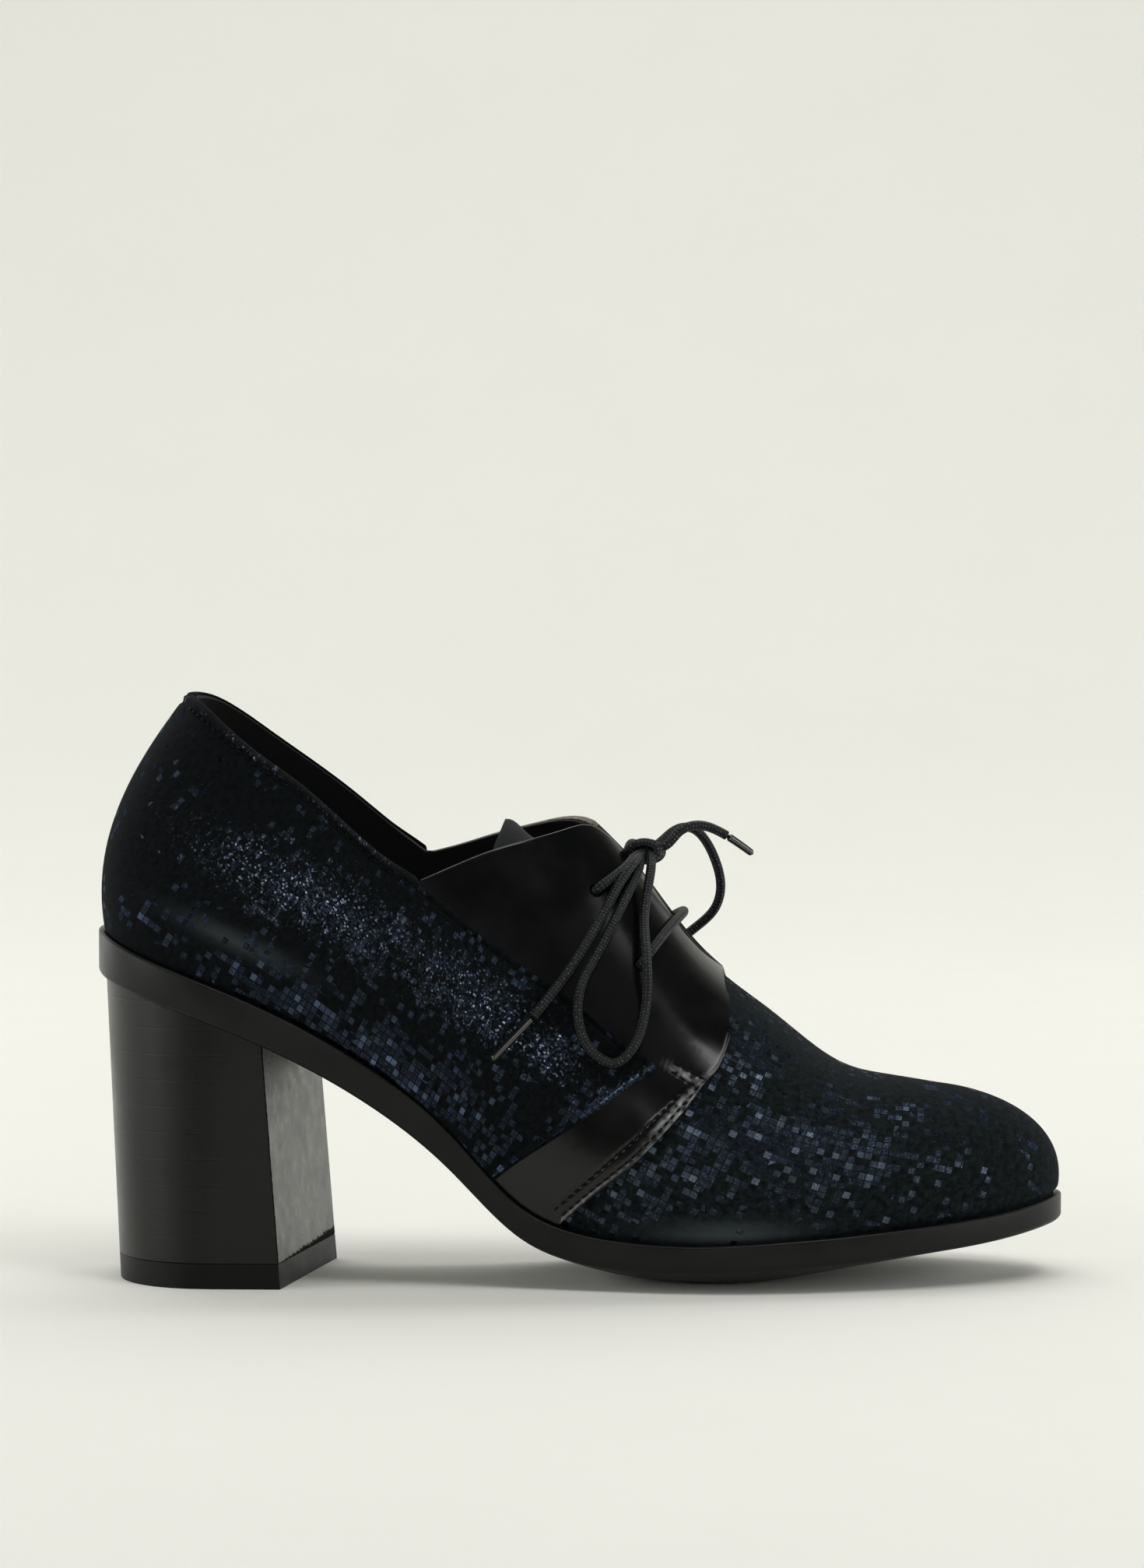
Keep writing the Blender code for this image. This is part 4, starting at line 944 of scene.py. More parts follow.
# Cotton, braided round and waxed: charcoal, with painted highlights on some crowns.
LACE = WaxedBraid("waxed_cotton_braid", "#080c0c", 0.55, mirror=0.25)
# Clear-lacquered acetate tip, hot rolled round the lace: hard, glassy highlights.
ACETATE = Mottled("rolled_acetate_tip", "#0a0a0b", 0.12, 0.8, other="#141415", rough_other=0.18,
                  broad=4.0, grain=1.2, grain_depth=0.01, broad_depth=0.06)
# Bonded polyester thread, slightly waxed: black with little gloss.
THREAD = Mottled("bonded_black_thread", "#030303", 0.6, mirror=0.1, other="#060606", rough_other=0.7,
                 broad=3.0, grain=0.3, grain_depth=0.05)
# Studio paper, rolled: plain warm white.
PAPER = Mottled("studio_paper", "#ebebe3", 0.9, other="#eaeae2", rough_other=0.95,
                broad=60.0, grain=2.0, grain_depth=0.02)


@cache
def material_of(finish: Finish) -> Material:
    """The material of a finish, made once and shared by the pieces."""
    return finish.material()


def mesh_of(shape: bmesh.types.BMesh, name: str, smooth: bool = True) -> Mesh:
    """A mesh from a finished bmesh, which is freed.

    Args:
        shape: the bmesh.
        name: the mesh's name.
        smooth: whether it is shaded smooth.

    Returns:
        The mesh.
    """
    mesh = bpy.data.meshes.new(name)
    shape.to_mesh(mesh)
    shape.free()
    if smooth:
        mesh.shade_smooth()
    return mesh


def add_object(name: str, data: bpy.types.ID) -> Piece:
    """Link new data into the scene as an object."""
    made = bpy.data.objects.new(name, data)
    bpy.context.scene.collection.objects.link(made)
    return made


def add_piece(mesh: Mesh, finishes: Sequence[Finish], replaced: Sequence[str] = ()) -> Piece:
    """Put a mesh into the scene as a piece of the shoe, under the mesh's name.

    Args:
        mesh: its mesh, in place.
        finishes: its materials in slot order.
        replaced: CAD nodes that it stands for.

    Returns:
        The new object.
    """
    for finish in finishes:
        mesh.materials.append(material_of(finish))
    piece = add_object(mesh.name, mesh)
    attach(piece, BODY)
    if replaced:
        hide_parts(*replaced)
    LOG.info("%s: %d faces", mesh.name, len(mesh.polygons))
    return piece


def grid_mesh(name: str, points: Array, uvs: Array, slots: Array | None = None) -> Mesh:
    """A mesh bent from a flat grid, welded where columns meet.

    Args:
        name: the mesh's name.
        points: columns by rows of points in millimetres.
        uvs: columns by rows of flat places in millimetres.
        slots: material slot of each face, columns - 1 by rows - 1.

    Returns:
        The mesh, with its UV map.
    """
    columns, rows = points.shape[:2]
    shape = bmesh.new()
    bmesh.ops.create_grid(shape, x_segments=columns - 1, y_segments=rows - 1, size=0.5)
    layer = shape.loops.layers.uv.new("UVMap")
    shape.verts.index_update()
    spots = [(round((corner.co.x + 0.5) * (columns - 1)), round((corner.co.y + 0.5) * (rows - 1)))
             for corner in shape.verts]
    placed = LAST.place(points)
    for face in shape.faces:
        for loop in face.loops:
            loop[layer].uv = uvs[spots[loop.vert.index]]
        if slots is not None:
            corners = [spots[corner.index] for corner in face.verts]
            face.material_index = int(slots[min(c for c, _ in corners), min(r for _, r in corners)])
    for corner, spot in zip(shape.verts, spots):
        corner.co = placed[spot]
    bmesh.ops.remove_doubles(shape, verts=shape.verts, dist=WELD * MM)
    bmesh.ops.dissolve_degenerate(shape, edges=shape.edges, dist=WELD * MM * 0.5)
    mesh = mesh_of(shape, name)
    mesh.set_sharp_from_angle(angle=SHARP_ANGLE)
    return mesh


def add_wall(piece: Piece, thickness: float, lining: int = 0) -> None:
    """Give a sheet its thickness, inward.

    Args:
        piece: the sheet.
        thickness: wall in millimetres.
        lining: how many slots on the material of inside and rim lies.
    """
    wall = piece.modifiers.new("wall", "SOLIDIFY")
    wall.thickness = thickness * MM
    wall.offset = -1.0
    wall.use_even_offset = True
    wall.use_quality_normals = True
    wall.material_offset = lining
    wall.material_offset_rim = lining


def settle(piece: Piece) -> None:
    """Make a piece's modifiers part of its mesh."""
    bpy.context.view_layer.update()
    graph = bpy.context.evaluated_depsgraph_get()
    mesh = bpy.data.meshes.new_from_object(piece.evaluated_get(graph))
    piece.modifiers.clear()
    piece.data = mesh
    mesh.set_sharp_from_angle(angle=SHARP_ANGLE)


def arc(points: Array) -> Array:
    """Length along a row of points, from its start."""
    return np.concatenate(((0.0,), np.cumsum(np.linalg.norm(np.diff(points, axis=0), axis=1))))


def unit(ways: Array) -> Array:
    """Directions of length one."""
    return ways / np.linalg.norm(ways, axis=-1, keepdims=True)


def read_between(place: float, knots: Array, rows: Array) -> Vector:
    """A row read between the rows of a table at rising knots."""
    return Vector([np.interp(place, knots, column) for column in rows.T])


def smooth_route(points: Rows, step: float) -> Array:
    """Even points along a smooth curve through a route's own points.

    Args:
        points: the route's points.
        step: wanted distance between points.

    Returns:
        The new points.
    """
    spots = np.array(points, dtype=float)
    knots = arc(spots)
    places = np.linspace(0.0, knots[-1], max(int(round(knots[-1] / step)), 2) + 1)
    return np.stack([Run(knots, column)(places) for column in spots.T], -1)


def paint(mesh: Mesh, name: str, patches: Rows, ground: float = 0.0) -> None:
    """Paint soft oval patches on a mesh as an attribute, alike on both sides of the shoe.

    Args:
        mesh: the mesh.
        name: the attribute's name.
        patches: rows of place along, height, half length, half width, tilt and share.
        ground: the share outside the patches.
    """
    spots = np.empty(len(mesh.vertices) * 3)
    mesh.vertices.foreach_get("co", spots)
    spots = spots.reshape(-1, 3) / MM + LAST.middle
    shares = np.full(len(spots), ground)
    for along, height, long, wide, tilt, share in patches:
        turn = math.radians(tilt)
        ahead, above = spots[:, 0] - along, spots[:, 2] - height
        run = (ahead * math.cos(turn) + above * math.sin(turn)) / long
        rise = (above * math.cos(turn) - ahead * math.sin(turn)) / wide
        shares = np.maximum(shares, share * np.exp(-PATCH_FALL * (run * run + rise * rise)))
    layer = mesh.attributes.new(name, "FLOAT", "POINT")
    layer.data.foreach_set("value", shares.astype(np.float32))


def paint_foil(mesh: Mesh) -> None:
    """Paint foil cover, flakes with painted glints, painted highlights and rubbed nap's painted sheen."""
    for name, (patches, ground) in FOIL_LAYERS.items():
        paint(mesh, name, patches, ground)


@dataclass
class Bottom:
    """The outsole under the whole foot and the insole on it."""

    per_station: int = 8
    top_round: float = 0.7
    low_round: float = 1.1
    round_steps: int = 4
    shares: Row = (0.0, 0.2, 0.4, 0.58, 0.74, 0.88)
    insole_thick: float = 1.8
    insole_round: float = 0.5
    insole_rim: float = 0.97

    def outsole_column(self, station: float) -> Array:
        """One fan of the outsole, from its middle line out and back.

        Args:
            station: place around the loop.

        Returns:
            Points from the tread over the edge to the top.
        """
        edge = LAST.fan(station, 0.0)
        spine = LAST.spine(station)
        low = LAST.underside(*edge)
        high = low + float(LAST.sole["thick"](edge[0]))
        turns = np.linspace(0.0, math.pi / 2.0, self.round_steps + 1)
        rim = LAST.fan(station, self.low_round)
        start = LAST.underside(*rim)
        inner = [spine + (rim - spine) * share for share in self.shares]
        column = [(*spot, LAST.underside(*spot)) for spot in inner]
        for turn in turns:
            spot = LAST.fan(station, self.low_round * (1.0 - math.sin(turn)))
            rise = self.low_round * (1.0 - math.cos(turn))
            column.append((*spot, start + (low - start) * math.sin(turn) + rise))
        for turn in turns[::-1]:
            spot = LAST.fan(station, self.top_round * (1.0 - math.sin(turn)))
            column.append((*spot, high - self.top_round * (1.0 - math.cos(turn))))
        rim = LAST.fan(station, self.top_round)
        inner = [spine + (rim - spine) * share for share in reversed(self.shares)]
        return np.array(column + [(*spot, LAST.sole_top(*spot)) for spot in inner])

    def build(self) -> None:
        """Build the outsole and the insole."""
        stations = LAST.loop_stations(self.per_station)
        points = np.array([self.outsole_column(station) for station in stations])
        around = arc(points[:, len(self.shares) + self.round_steps])
        uvs = np.stack([np.stack((np.full(len(column), place), arc(column)), -1)
                        for place, column in zip(around, points)])
        add_piece(grid_mesh("buffed_outsole", points, uvs), [SOLE_RUBBER], ["outsole"])
        columns = []
        for station in stations:
            rim = LAST.fan(station, LAST.curves["inset"](station) + UPPER_WALL + 2.0 * LAST.gap)
            spine = LAST.spine(station)
            inner = [spine + (rim - spine) * share for share in (*self.shares, self.insole_rim)]
            low = [(*spot, LAST.sole_top(*spot) + LAST.gap) for spot in (*inner, rim)]
            high = [(x, y, z + self.insole_thick) for x, y, z in low]
            high[-1] = (*high[-1][:2], high[-1][2] - self.insole_round)
            columns.append(low + high[::-1])
        points = np.array(columns)
        add_piece(grid_mesh("sock_lining", points, points[:, :, :2]), [LINING], ["insole"])


@dataclass
class Heel:
    """The stacked block heel with its flat breast, and the rubber top piece below it.

    A pair of sizes holds at the floor and at the seat.
    """

    top_piece: float = 6.0
    gap: float = 0.04
    sink: float = 0.5
    back: Pair = (4.8, 1.4)
    half_width: Pair = (27.8, 27.2)
    centre: Pair = (-4.5, -2.9)
    round_depth: Pair = (25.0, 33.0)
    levels: Pair = (0.0, 68.0)
    roundness: float = 2.2
    straight: float = 0.3
    breast_near: Pair = (45.4, -32.0)
    breast_skew: float = 0.174
    breast_lean: float = 0.084
    back_steps: int = 96
    breast_steps: int = 28
    rows: int = 24
    seat_rounds: int = 6
    seat_shares: Row = (0.35, 0.7, 1.0)
    edge: float = 0.22
    edge_steps: int = 3
    edge_angle: float = 50.0

    def at(self, sizes: Pair, level: float) -> float:
        """A size at a height, straight between the floor and the seat."""
        return float(np.interp(level, self.levels, sizes))

    def breast_along(self, across: float, level: float) -> float:
        """Where the flat front face stands."""
        lead = self.breast_skew * (across - self.breast_near[1])
        return self.breast_near[0] + lead - self.breast_lean * level

    def rim(self, turn: float, level: float) -> Array:
        """A point of the back and sides.

        Args:
            turn: from -1 at the lateral corner to 1 at the medial one.
            level: height.

        Returns:
            Place along and across.
        """
        half, middle, back, depth = (self.at(sizes, level) for sizes in
                                     (self.half_width, self.centre, self.back, self.round_depth))
        side = math.copysign(1.0, turn)
        bent = 1.0 - self.straight
        if abs(turn) > bent:
            across = middle + side * half
            share = (abs(turn) - bent) / self.straight
            start = back + depth
            return np.array((start + (self.breast_along(across, level) - start) * share, across))
        angle = abs(turn) / bent * math.pi / 2.0
        power = 2.0 / self.roundness
        return np.array((back + depth * (1.0 - math.cos(angle) ** power),
                         middle + side * half * math.sin(angle) ** power))

    def plan(self, spot: float, level: float) -> Array:
        """A point around the heel.

        Args:
            spot: 0 to 1 on the back and sides, 1 to 2 on the breast.
            level: height.

        Returns:
            Place along and across.
        """
        if spot <= 1.0:
            return self.rim(2.0 * spot - 1.0, level)
        medial, lateral = self.rim(1.0, level), self.rim(-1.0, level)
        return medial + (lateral - medial) * (spot - 1.0)

    def spots(self) -> list[float]:
        """Places around the heel, closed on its first."""
        return ([1.0 - step / self.back_steps for step in range(self.back_steps)]
                + [2.0 - step / self.breast_steps for step in range(self.breast_steps + 1)])

    def seat(self, spot: float) -> tuple[Array, float]:
        """Where a spot of the heel's rim meets the outsole.

        Args:
            spot: place around the heel.

        Returns:
            Place along and across, and the height.
        """
        level = SOLE_ROWS[0][1]
        for _ in range(self.seat_rounds):
            rim = self.plan(spot, level)
            level = LAST.underside(*rim) - LAST.gap
        return rim, level

    def build(self) -> None:
        """Build the heel block and the top piece."""
        spots = self.spots()
        centre = np.array((self.round_depth[0], self.centre[0]))
        low = self.top_piece + self.gap
        columns = []
        for spot in spots:
            rim, level = self.seat(spot)
            foot = self.plan(spot, low)
            rise = level + LAST.gap + self.sink - low
            column = [(*centre, low), (*foot, low)]
            column += [(*(foot + (rim - foot) * share), low + rise * share)
                       for share in np.linspace(0.0, 1.0, self.rows)[1:]]
            inner = [rim + (centre - rim) * share for share in self.seat_shares]
            columns.append(column + [(*place, LAST.underside(*place) + self.sink) for place in inner])
        points = np.array(columns)
        slots = np.zeros((len(columns) - 1, len(columns[0]) - 1), dtype=int)
        slots[self.back_steps:, :] = 1
        block = add_piece(grid_mesh("stacked_heel_block", points, points[:, :, :2], slots), [STACK, BREAST],
                          ["heel_block"])
        high = self.top_piece
        points = np.array([[(*centre, 0.0), (*self.plan(spot, 0.0), 0.0), (*self.plan(spot, high), high),
                            (*centre, high)] for spot in spots])
        lift = add_piece(grid_mesh("rubber_top_piece", points, points[:, :, :2]), [TOP_RUBBER],
                         ["top_piece"])
        for piece in (block, lift):
            bevel = piece.modifiers.new("edges", "BEVEL")
            bevel.width = self.edge * MM
            bevel.segments = self.edge_steps
            bevel.limit_method = "ANGLE"
            bevel.angle_limit = math.radians(self.edge_angle)
            bevel.harden_normals = True


@dataclass
class Upper:
    """The lasted wall, seen outside as the vamp and inside as the lining, and the tongue."""

    per_station: int = 8
    rows: int = 44
    tuck: float = 0.7
    feather: float = 0.9
    feather_width: float = 0.9
    feather_shares: Row = (0.0, 0.006, 0.012, 0.02, 0.03)
    feather_end: float = 0.05
    vamp_start: float = 108.0
    vamp_marks: tuple[Pair, ...] = ((160.0, 30.0), (190.0, 28.0), (165.0, 45.0))
    tongue_thick: float = 1.4
    tongue_clearance: float = 0.5
    tongue_steps: int = 60
    tongue_across: int = 41

    def lay_flat(self, piece: Piece) -> None:
        """Lay the vamp out flat in its UV map, in millimetres, as the leather lay when it was stamped.

        Args:
            piece: the lasted upper.
        """
        mesh = piece.data
        bpy.context.view_layer.objects.active = piece
        bpy.ops.object.mode_set(mode="EDIT")
        shape = bmesh.from_edit_mesh(mesh)
        start = LAST.place((self.vamp_start, 0.0, 0.0))[0]
        for face in shape.faces:
            face.select_set(face.calc_center_median().x > start)
        bmesh.update_edit_mesh(mesh)
        bpy.ops.uv.unwrap(method="MINIMUM_STRETCH", fill_holes=False, correct_aspect=False, margin=0.0)
        shape = bmesh.from_edit_mesh(mesh)
        layer = shape.loops.layers.uv.active
        chosen = [face for face in shape.faces if face.select]
        marks = [Vector(LAST.place(LAST.points(*LAST.spot(*seen, Side.LATERAL))))
                 for seen in self.vamp_marks]
        corners = [min((loop for face in chosen for loop in face.loops),
                       key=lambda loop: (loop.vert.co - mark).length) for mark in marks]
        back, front, above = (np.array(corner[layer].uv) for corner in corners)
        along = unit(front - back)
        upward = np.array((-along[1], along[0]))
        if np.dot(above - back, upward) < 0.0:
            upward = -upward
        seen = sum(face.calc_area() for face in chosen)
        laid = sum(abs(area_tri(*(Vector(loop[layer].uv) for loop in corner)))
                   for face in chosen for corner in self.halves(face))
        scale = math.sqrt(seen / laid) / MM
        for face in chosen:
            for loop in face.loops:
                spot = np.array(loop[layer].uv) - back
                loop[layer].uv = (float(spot @ along) * scale, float(spot @ upward) * scale)
        bmesh.update_edit_mesh(mesh)
        bpy.ops.object.mode_set(mode="OBJECT")

    @staticmethod
    def halves(face: bmesh.types.BMFace) -> list[tuple]:
        """Triangles of a face, as loops."""
        first, *rest = face.loops
        return [(first, *pair) for pair in zip(rest, rest[1:])]

    def build_wall(self) -> Piece:
        """The lasted upper.

        Returns:
            The piece, its eyelets not yet cut.
        """
        columns = []
        for station in LAST.loop_stations(self.per_station):
            shares = np.linspace(self.feather_end, LAST.top_share(station), self.rows)
            shares = np.concatenate((self.feather_shares, shares))
            groove = self.feather * np.exp(-(arc(LAST.points(station, shares)) / self.feather_width) ** 2)
            points = LAST.points(station, shares, -groove)
            columns.append(np.vstack((points[0] - (0.0, 0.0, self.tuck), points)))
        points = np.array(columns)
        mesh = grid_mesh("lasted_upper", points, points[:, :, (0, 2)])
        paint_foil(mesh)
        piece = add_piece(mesh, [VAMP_SUEDE, LINING], ["upper"])
        self.lay_flat(piece)
        add_wall(piece, UPPER_WALL, lining=1)
        return piece

    def build_tongue(self) -> None:
        """Build the tongue under the facings, its end fallen back into the opening."""
        drop, half_width, lean = (run_of(TONGUE_ROWS, column) for column in (1, 2, 3))
        inside = -(UPPER_WALL + self.tongue_clearance)
        columns = []
        for along in np.linspace(TONGUE_ROWS[0][0], TONGUE_ROWS[-1][0], self.tongue_steps + 1):
            lateral = LAST.station_at(along, Side.LATERAL, 1.0)
            crest = LAST.points(lateral, 1.0, inside)
            column = []
            for across in np.linspace(-1.0, 1.0, self.tongue_across):
                station = lateral if across <= 0.0 else LOOP - lateral
                spots = LAST.weights(LAST.shares) @ LAST.section(station)
                reach = abs(across) * half_width(along)
                share = LAST.first_share(reach - np.abs(spots[:, 1] - spots[-1, 1]), LAST.lowest_top)
                point = LAST.points(station, share, inside)
                sag = crest[2] - point[2]
                column.append((point[0] - lean(along) * sag, point[1], point[2] - drop(along)))
            columns.append(column)
        points = np.array(columns)
        piece = add_piece(grid_mesh("brushed_tongue", points, points[:, :, :2]), [TONGUE_SUEDE],
                          ["tongue"])
        add_wall(piece, self.tongue_thick)


@dataclass
class Overlays:
    """The polished facings and the foil suede quarters sewn over the upper, with their thread.

    A row of ridges gives each one's height, its distance from the edge and its width.
    """

    facing_wall: float = 1.2
    facing_columns: int = 200
    facing_crowd: float = 1.6
    facing_span: Pair = (78.6, 151.75)
    cut_edge: Rows = ((0.0, 1.65), (0.0, 0.33), (0.06, 0.17), (0.16, 0.07), (0.32, 0.0))
    row_marks: Row = tuple(0.4 + 0.4 * step for step in range(1, 36))
    top_marks: Row = (0.8, 1.6, 3.0)
    raw_edge_end: float = 119.0
    slope_step: float = 0.2
    lip: Rows = ((0.34, 0.0, 0.7),)
    quarter_columns: int = 210
    quarter_crowd: float = 1.35
    quarter_thick: float = 1.0
    quarter_wall: float = 0.5
    quarter_tuck: float = 0.7
    overlay_gap: float = 0.45
    lap_start: float = 68.0
    lap_end: float = 77.0
    lap_sink: float = 0.1
    edge_sink: float = 0.55
    edge_clear: float = 0.3
    nose_clear: float = 0.03
    fold: float = 1.3
    fold_marks: Row = (0.0, 0.05, 0.15, 0.3, 0.55, 0.9, 1.3, 1.7, 2.1, 2.4, 2.7, 3.2, 4.0)
    top_ridges: Rows = ((0.315, 0.9, 0.5), (-0.4, 2.4, 0.45))
    low_ridges: Rows = ((0.7, 1.2, 0.75), (-0.3, 3.0, 0.6))
    feather_ridges: Rows = ((-0.8, 0.0, 0.7),)
    seam_ridges: Rows = ((-0.5, 0.0, 0.25),)
    collar_rise: float = 0.6
    middle_rows: int = 26
    least_middle: float = 3.0
    ladder_steps: int = 120
    trough: float = 0.2
    trough_width: float = 0.45
    hole_draw: Pair = (0.8, 0.5)
    seam_in: float = 2.4
    seam_span: Pair = (79.0, 131.0)
    seam_steps: int = 60
    collar_span: Pair = (12.0, 76.0)
    collar_steps: int = 70
    collar_depth: float = 0.2
    row_steps: int = 90
    stitch_pitch: float = 2.2
    stitch_length: float = 1.7
    stitch_radius: float = 0.3
    stitch_reach: float = 0.4
    thread_on_calf: float = 0.08
    thread_on_suede: float = 0.1

    @staticmethod
    def relief(distance: Values, ridges: Rows) -> Values:
        """Height of soft ridges, and of grooves below zero, at a distance from an edge."""
        return sum(height * np.exp(-((distance - place) / width) ** 2) for height, place, width in ridges)

    def column(self, station: float, low: float, high: float, start: Row,
               end: Row) -> tuple[Array, Array, Array]:
        """Shares up one column of a sheet, close together at its edges.

        Args:
            station: place around the loop.
            low: share of the lower edge.
            high: share of the upper edge.
            start: distances from the lower edge that get a row.
            end: distances from the upper edge that get a row.

        Returns:
            Shares, distances from the lower edge and distances from the upper edge.
        """
        ladder = np.linspace(low, high, self.ladder_steps)
        lengths = arc(LAST.points(station, ladder))
        whole = lengths[-1]
        squeeze = min(1.0, whole / (start[-1] + end[-1] + self.least_middle))
        first = np.array(start) * squeeze
        last = whole - np.array(end)[::-1] * squeeze
        middle = np.linspace(first[-1], last[0], self.middle_rows + 2)[1:-1]
        rows = np.concatenate((first, middle, last))
        return np.interp(rows, lengths, ladder), rows, whole - rows

    def build_facing(self, side: Side) -> Piece:
        """One polished facing with its cut edges.

        Args:
            side: lateral or medial.

        Returns:
            The piece, its eyelets not yet cut.
        """
        edges = (FACING_UPPER_ROWS, FACING_LOWER_ROWS, FACING_BACK_ROWS)
        upper_run, lower_run, back_run = map(run_of, edges)
        free_start, free_end = FACING_LOWER_ROWS[0][0], FACING_LOWER_ROWS[-1][0]
        grades = np.arange(free_start, free_end, self.slope_step)
        slopes = np.gradient(lower_run(grades), self.slope_step)
        cut, drops = np.array(self.cut_edge).T
        places = 1.0 - (1.0 - np.linspace(0.0, 1.0, self.facing_columns)) ** self.facing_crowd
        alongs = self.facing_span[0] + places * (self.facing_span[1] - self.facing_span[0])
        columns, flats = [], []
        for along in alongs:
            station = LAST.station_at(along, side)
            low, high = 0.0, LAST.top_share(station)
            if along < FACING_BACK_ROWS[-1][0]:
                low = LAST.share_at_height(station, back_run(along))
            elif along > free_start:
                low = LAST.share_at_height(station, lower_run(along))
            if along > FACING_UPPER_ROWS[0][0]:
                high = min(high, LAST.share_at_height(station, upper_run(along)))
            shares, from_low, _ = self.column(station, low, high, (*cut, *self.row_marks),
                                              (*cut, *self.top_marks))
            lift = np.full(len(shares), FACING_LIFT)
            lift[:len(cut)] -= drops
            lift[-len(cut):] -= drops[::-1]
            if along > free_start:
                steep = np.interp(along, grades, slopes)
                lift += self.relief(from_low / math.sqrt(1.0 + steep * steep), self.lip)
                lift -= self.pucker(LAST.points(station, shares)[:, (0, 2)])
            points = LAST.points(station, shares, lift)
            columns.append(points)
            flats.append(np.stack((np.full(len(points), along), arc(points)), -1))
        raw = alongs[:-1] < self.raw_edge_end
        slots = np.zeros((len(columns) - 1, len(columns[0]) - 1), dtype=int)
        slots[:, 0] = 2
        slots[:, -1] = np.where(raw, 1, 2)
        slots[:, -2] = np.where(raw, 1, 0)
        mesh = grid_mesh("polished_facing_" + side.word, np.array(columns)[::side.order],
                         np.array(flats)[::side.order], slots[::side.order])
        # Painted pale highlight along the stitched lip, where the grain is duller too.
        paint(mesh, LIP_HIGHLIGHT_LAYER, LIP_HIGHLIGHT_PATCHES)
        piece = add_piece(mesh, [POLISHED_CALF, RAW_EDGE, INKED_EDGE],
                          ["facing_" + side.word])
        add_wall(piece, self.facing_wall)
        return piece

    def pucker(self, spots: Array) -> Array:
        """How far the stitches draw the facing in, most at the needle holes.

        Args:
            spots: places along and heights.

        Returns:
            A depth for each place.
        """
        depth = np.zeros(len(spots))
        for rows in STITCH_ROWS:
            line = self.row_line(rows)
            apart = np.linalg.norm(spots[:, None, :] - line[None, :, :], axis=2)
            holes = np.cos(arc(line)[np.argmin(apart, axis=1)] * math.tau / self.stitch_pitch)
            drawn = np.exp(-(apart.min(axis=1) / self.trough_width) ** 2)
            depth = np.maximum(depth, self.trough * drawn * (self.hole_draw[0] + self.hole_draw[1] * holes))
        return depth

    def row_line(self, rows: Rows) -> Array:
        """Even places along and heights through a row of stitches."""
        alongs = np.linspace(rows[0][0], rows[-1][0], self.row_steps)
        return np.stack((alongs, run_of(rows)(alongs)), -1)

    def quarter_lift(self, along: float) -> Pair:
        """Lift of the quarter's face and of what lies under its edge.

        Args:
            along: place along the shoe.

        Returns:
            Lift of the face, and lift of the surface below it.
        """
        share = min(max((along - self.lap_start) / (self.lap_end - self.lap_start), 0.0), 1.0)
        ease = share * share * (3.0 - 2.0 * share)
        face = self.overlay_gap + self.quarter_thick + ease * (FACING_LIFT - self.lap_sink)
        return face, ease * (FACING_LIFT + self.edge_clear) - self.edge_sink

    def build_quarter(self, side: Side) -> None:
        """Build one quarter from the back seam to its rounded corner over the facing.

        Args:
            side: lateral or medial.
        """
        upper_run, lower_run = run_of(QUARTER_UPPER_ROWS), run_of(QUARTER_LOWER_ROWS)
        reach = LAST.station_at(NOSE_ALONG - self.nose_clear, Side.LATERAL)
        places = 1.0 - (1.0 - np.linspace(0.0, 1.0, self.quarter_columns)) ** self.quarter_crowd
        seam = LAST.points(0.0, 0.5)[0]
        columns, flats, middles = [], [], []
        for station in places * reach:
            along = float(LAST.points(station, 0.5)[0])
            if side is Side.MEDIAL:
                station = LOOP - station
            low, high = 0.0, LAST.top_share(station)
            lasted = along < QUARTER_LOWER_ROWS[0][0]
            if not lasted:
                low = LAST.share_at_height(station, lower_run(along))
            if along > LAST.notch_along:
                high = min(high, LAST.share_at_height(station, upper_run(along)))
            shares, from_low, from_high = self.column(station, low, high, self.fold_marks, self.fold_marks)
            face, under = self.quarter_lift(along)
            inward = from_high if lasted else np.minimum(from_high, from_low)
            turns = np.sqrt(1.0 - (1.0 - np.clip(inward / self.fold, 0.0, 1.0)) ** 2)
            lift = under + (face - under) * turns + self.relief(from_high, self.top_ridges)
            lift += self.relief(from_low, self.feather_ridges if lasted else self.low_ridges)
            lift += self.relief(along - seam, self.seam_ridges)
            points = LAST.points(station, shares, lift)
            if along < LAST.notch_along:
                points[:, 2] += self.collar_rise * np.maximum(1.0 - from_high, 0.0) ** 2
            if lasted:
                points[0, 2] -= self.quarter_tuck
            columns.append(points)
            middles.append(LAST.points(station, 0.5 * (low + high)))
            flats.append(LAST.points(station, low)[2] + from_low)
        around = np.broadcast_to(arc(np.array(middles))[:, None], np.shape(flats))
        uvs = np.stack((around, flats), -1)
        mesh = grid_mesh("foil_quarter_" + side.word, np.array(columns)[::side.order], uvs[::side.order])
        paint_foil(mesh)
        piece = add_piece(mesh, [QUARTER_SUEDE], ["quarter_" + side.word])
        add_wall(piece, self.quarter_wall)

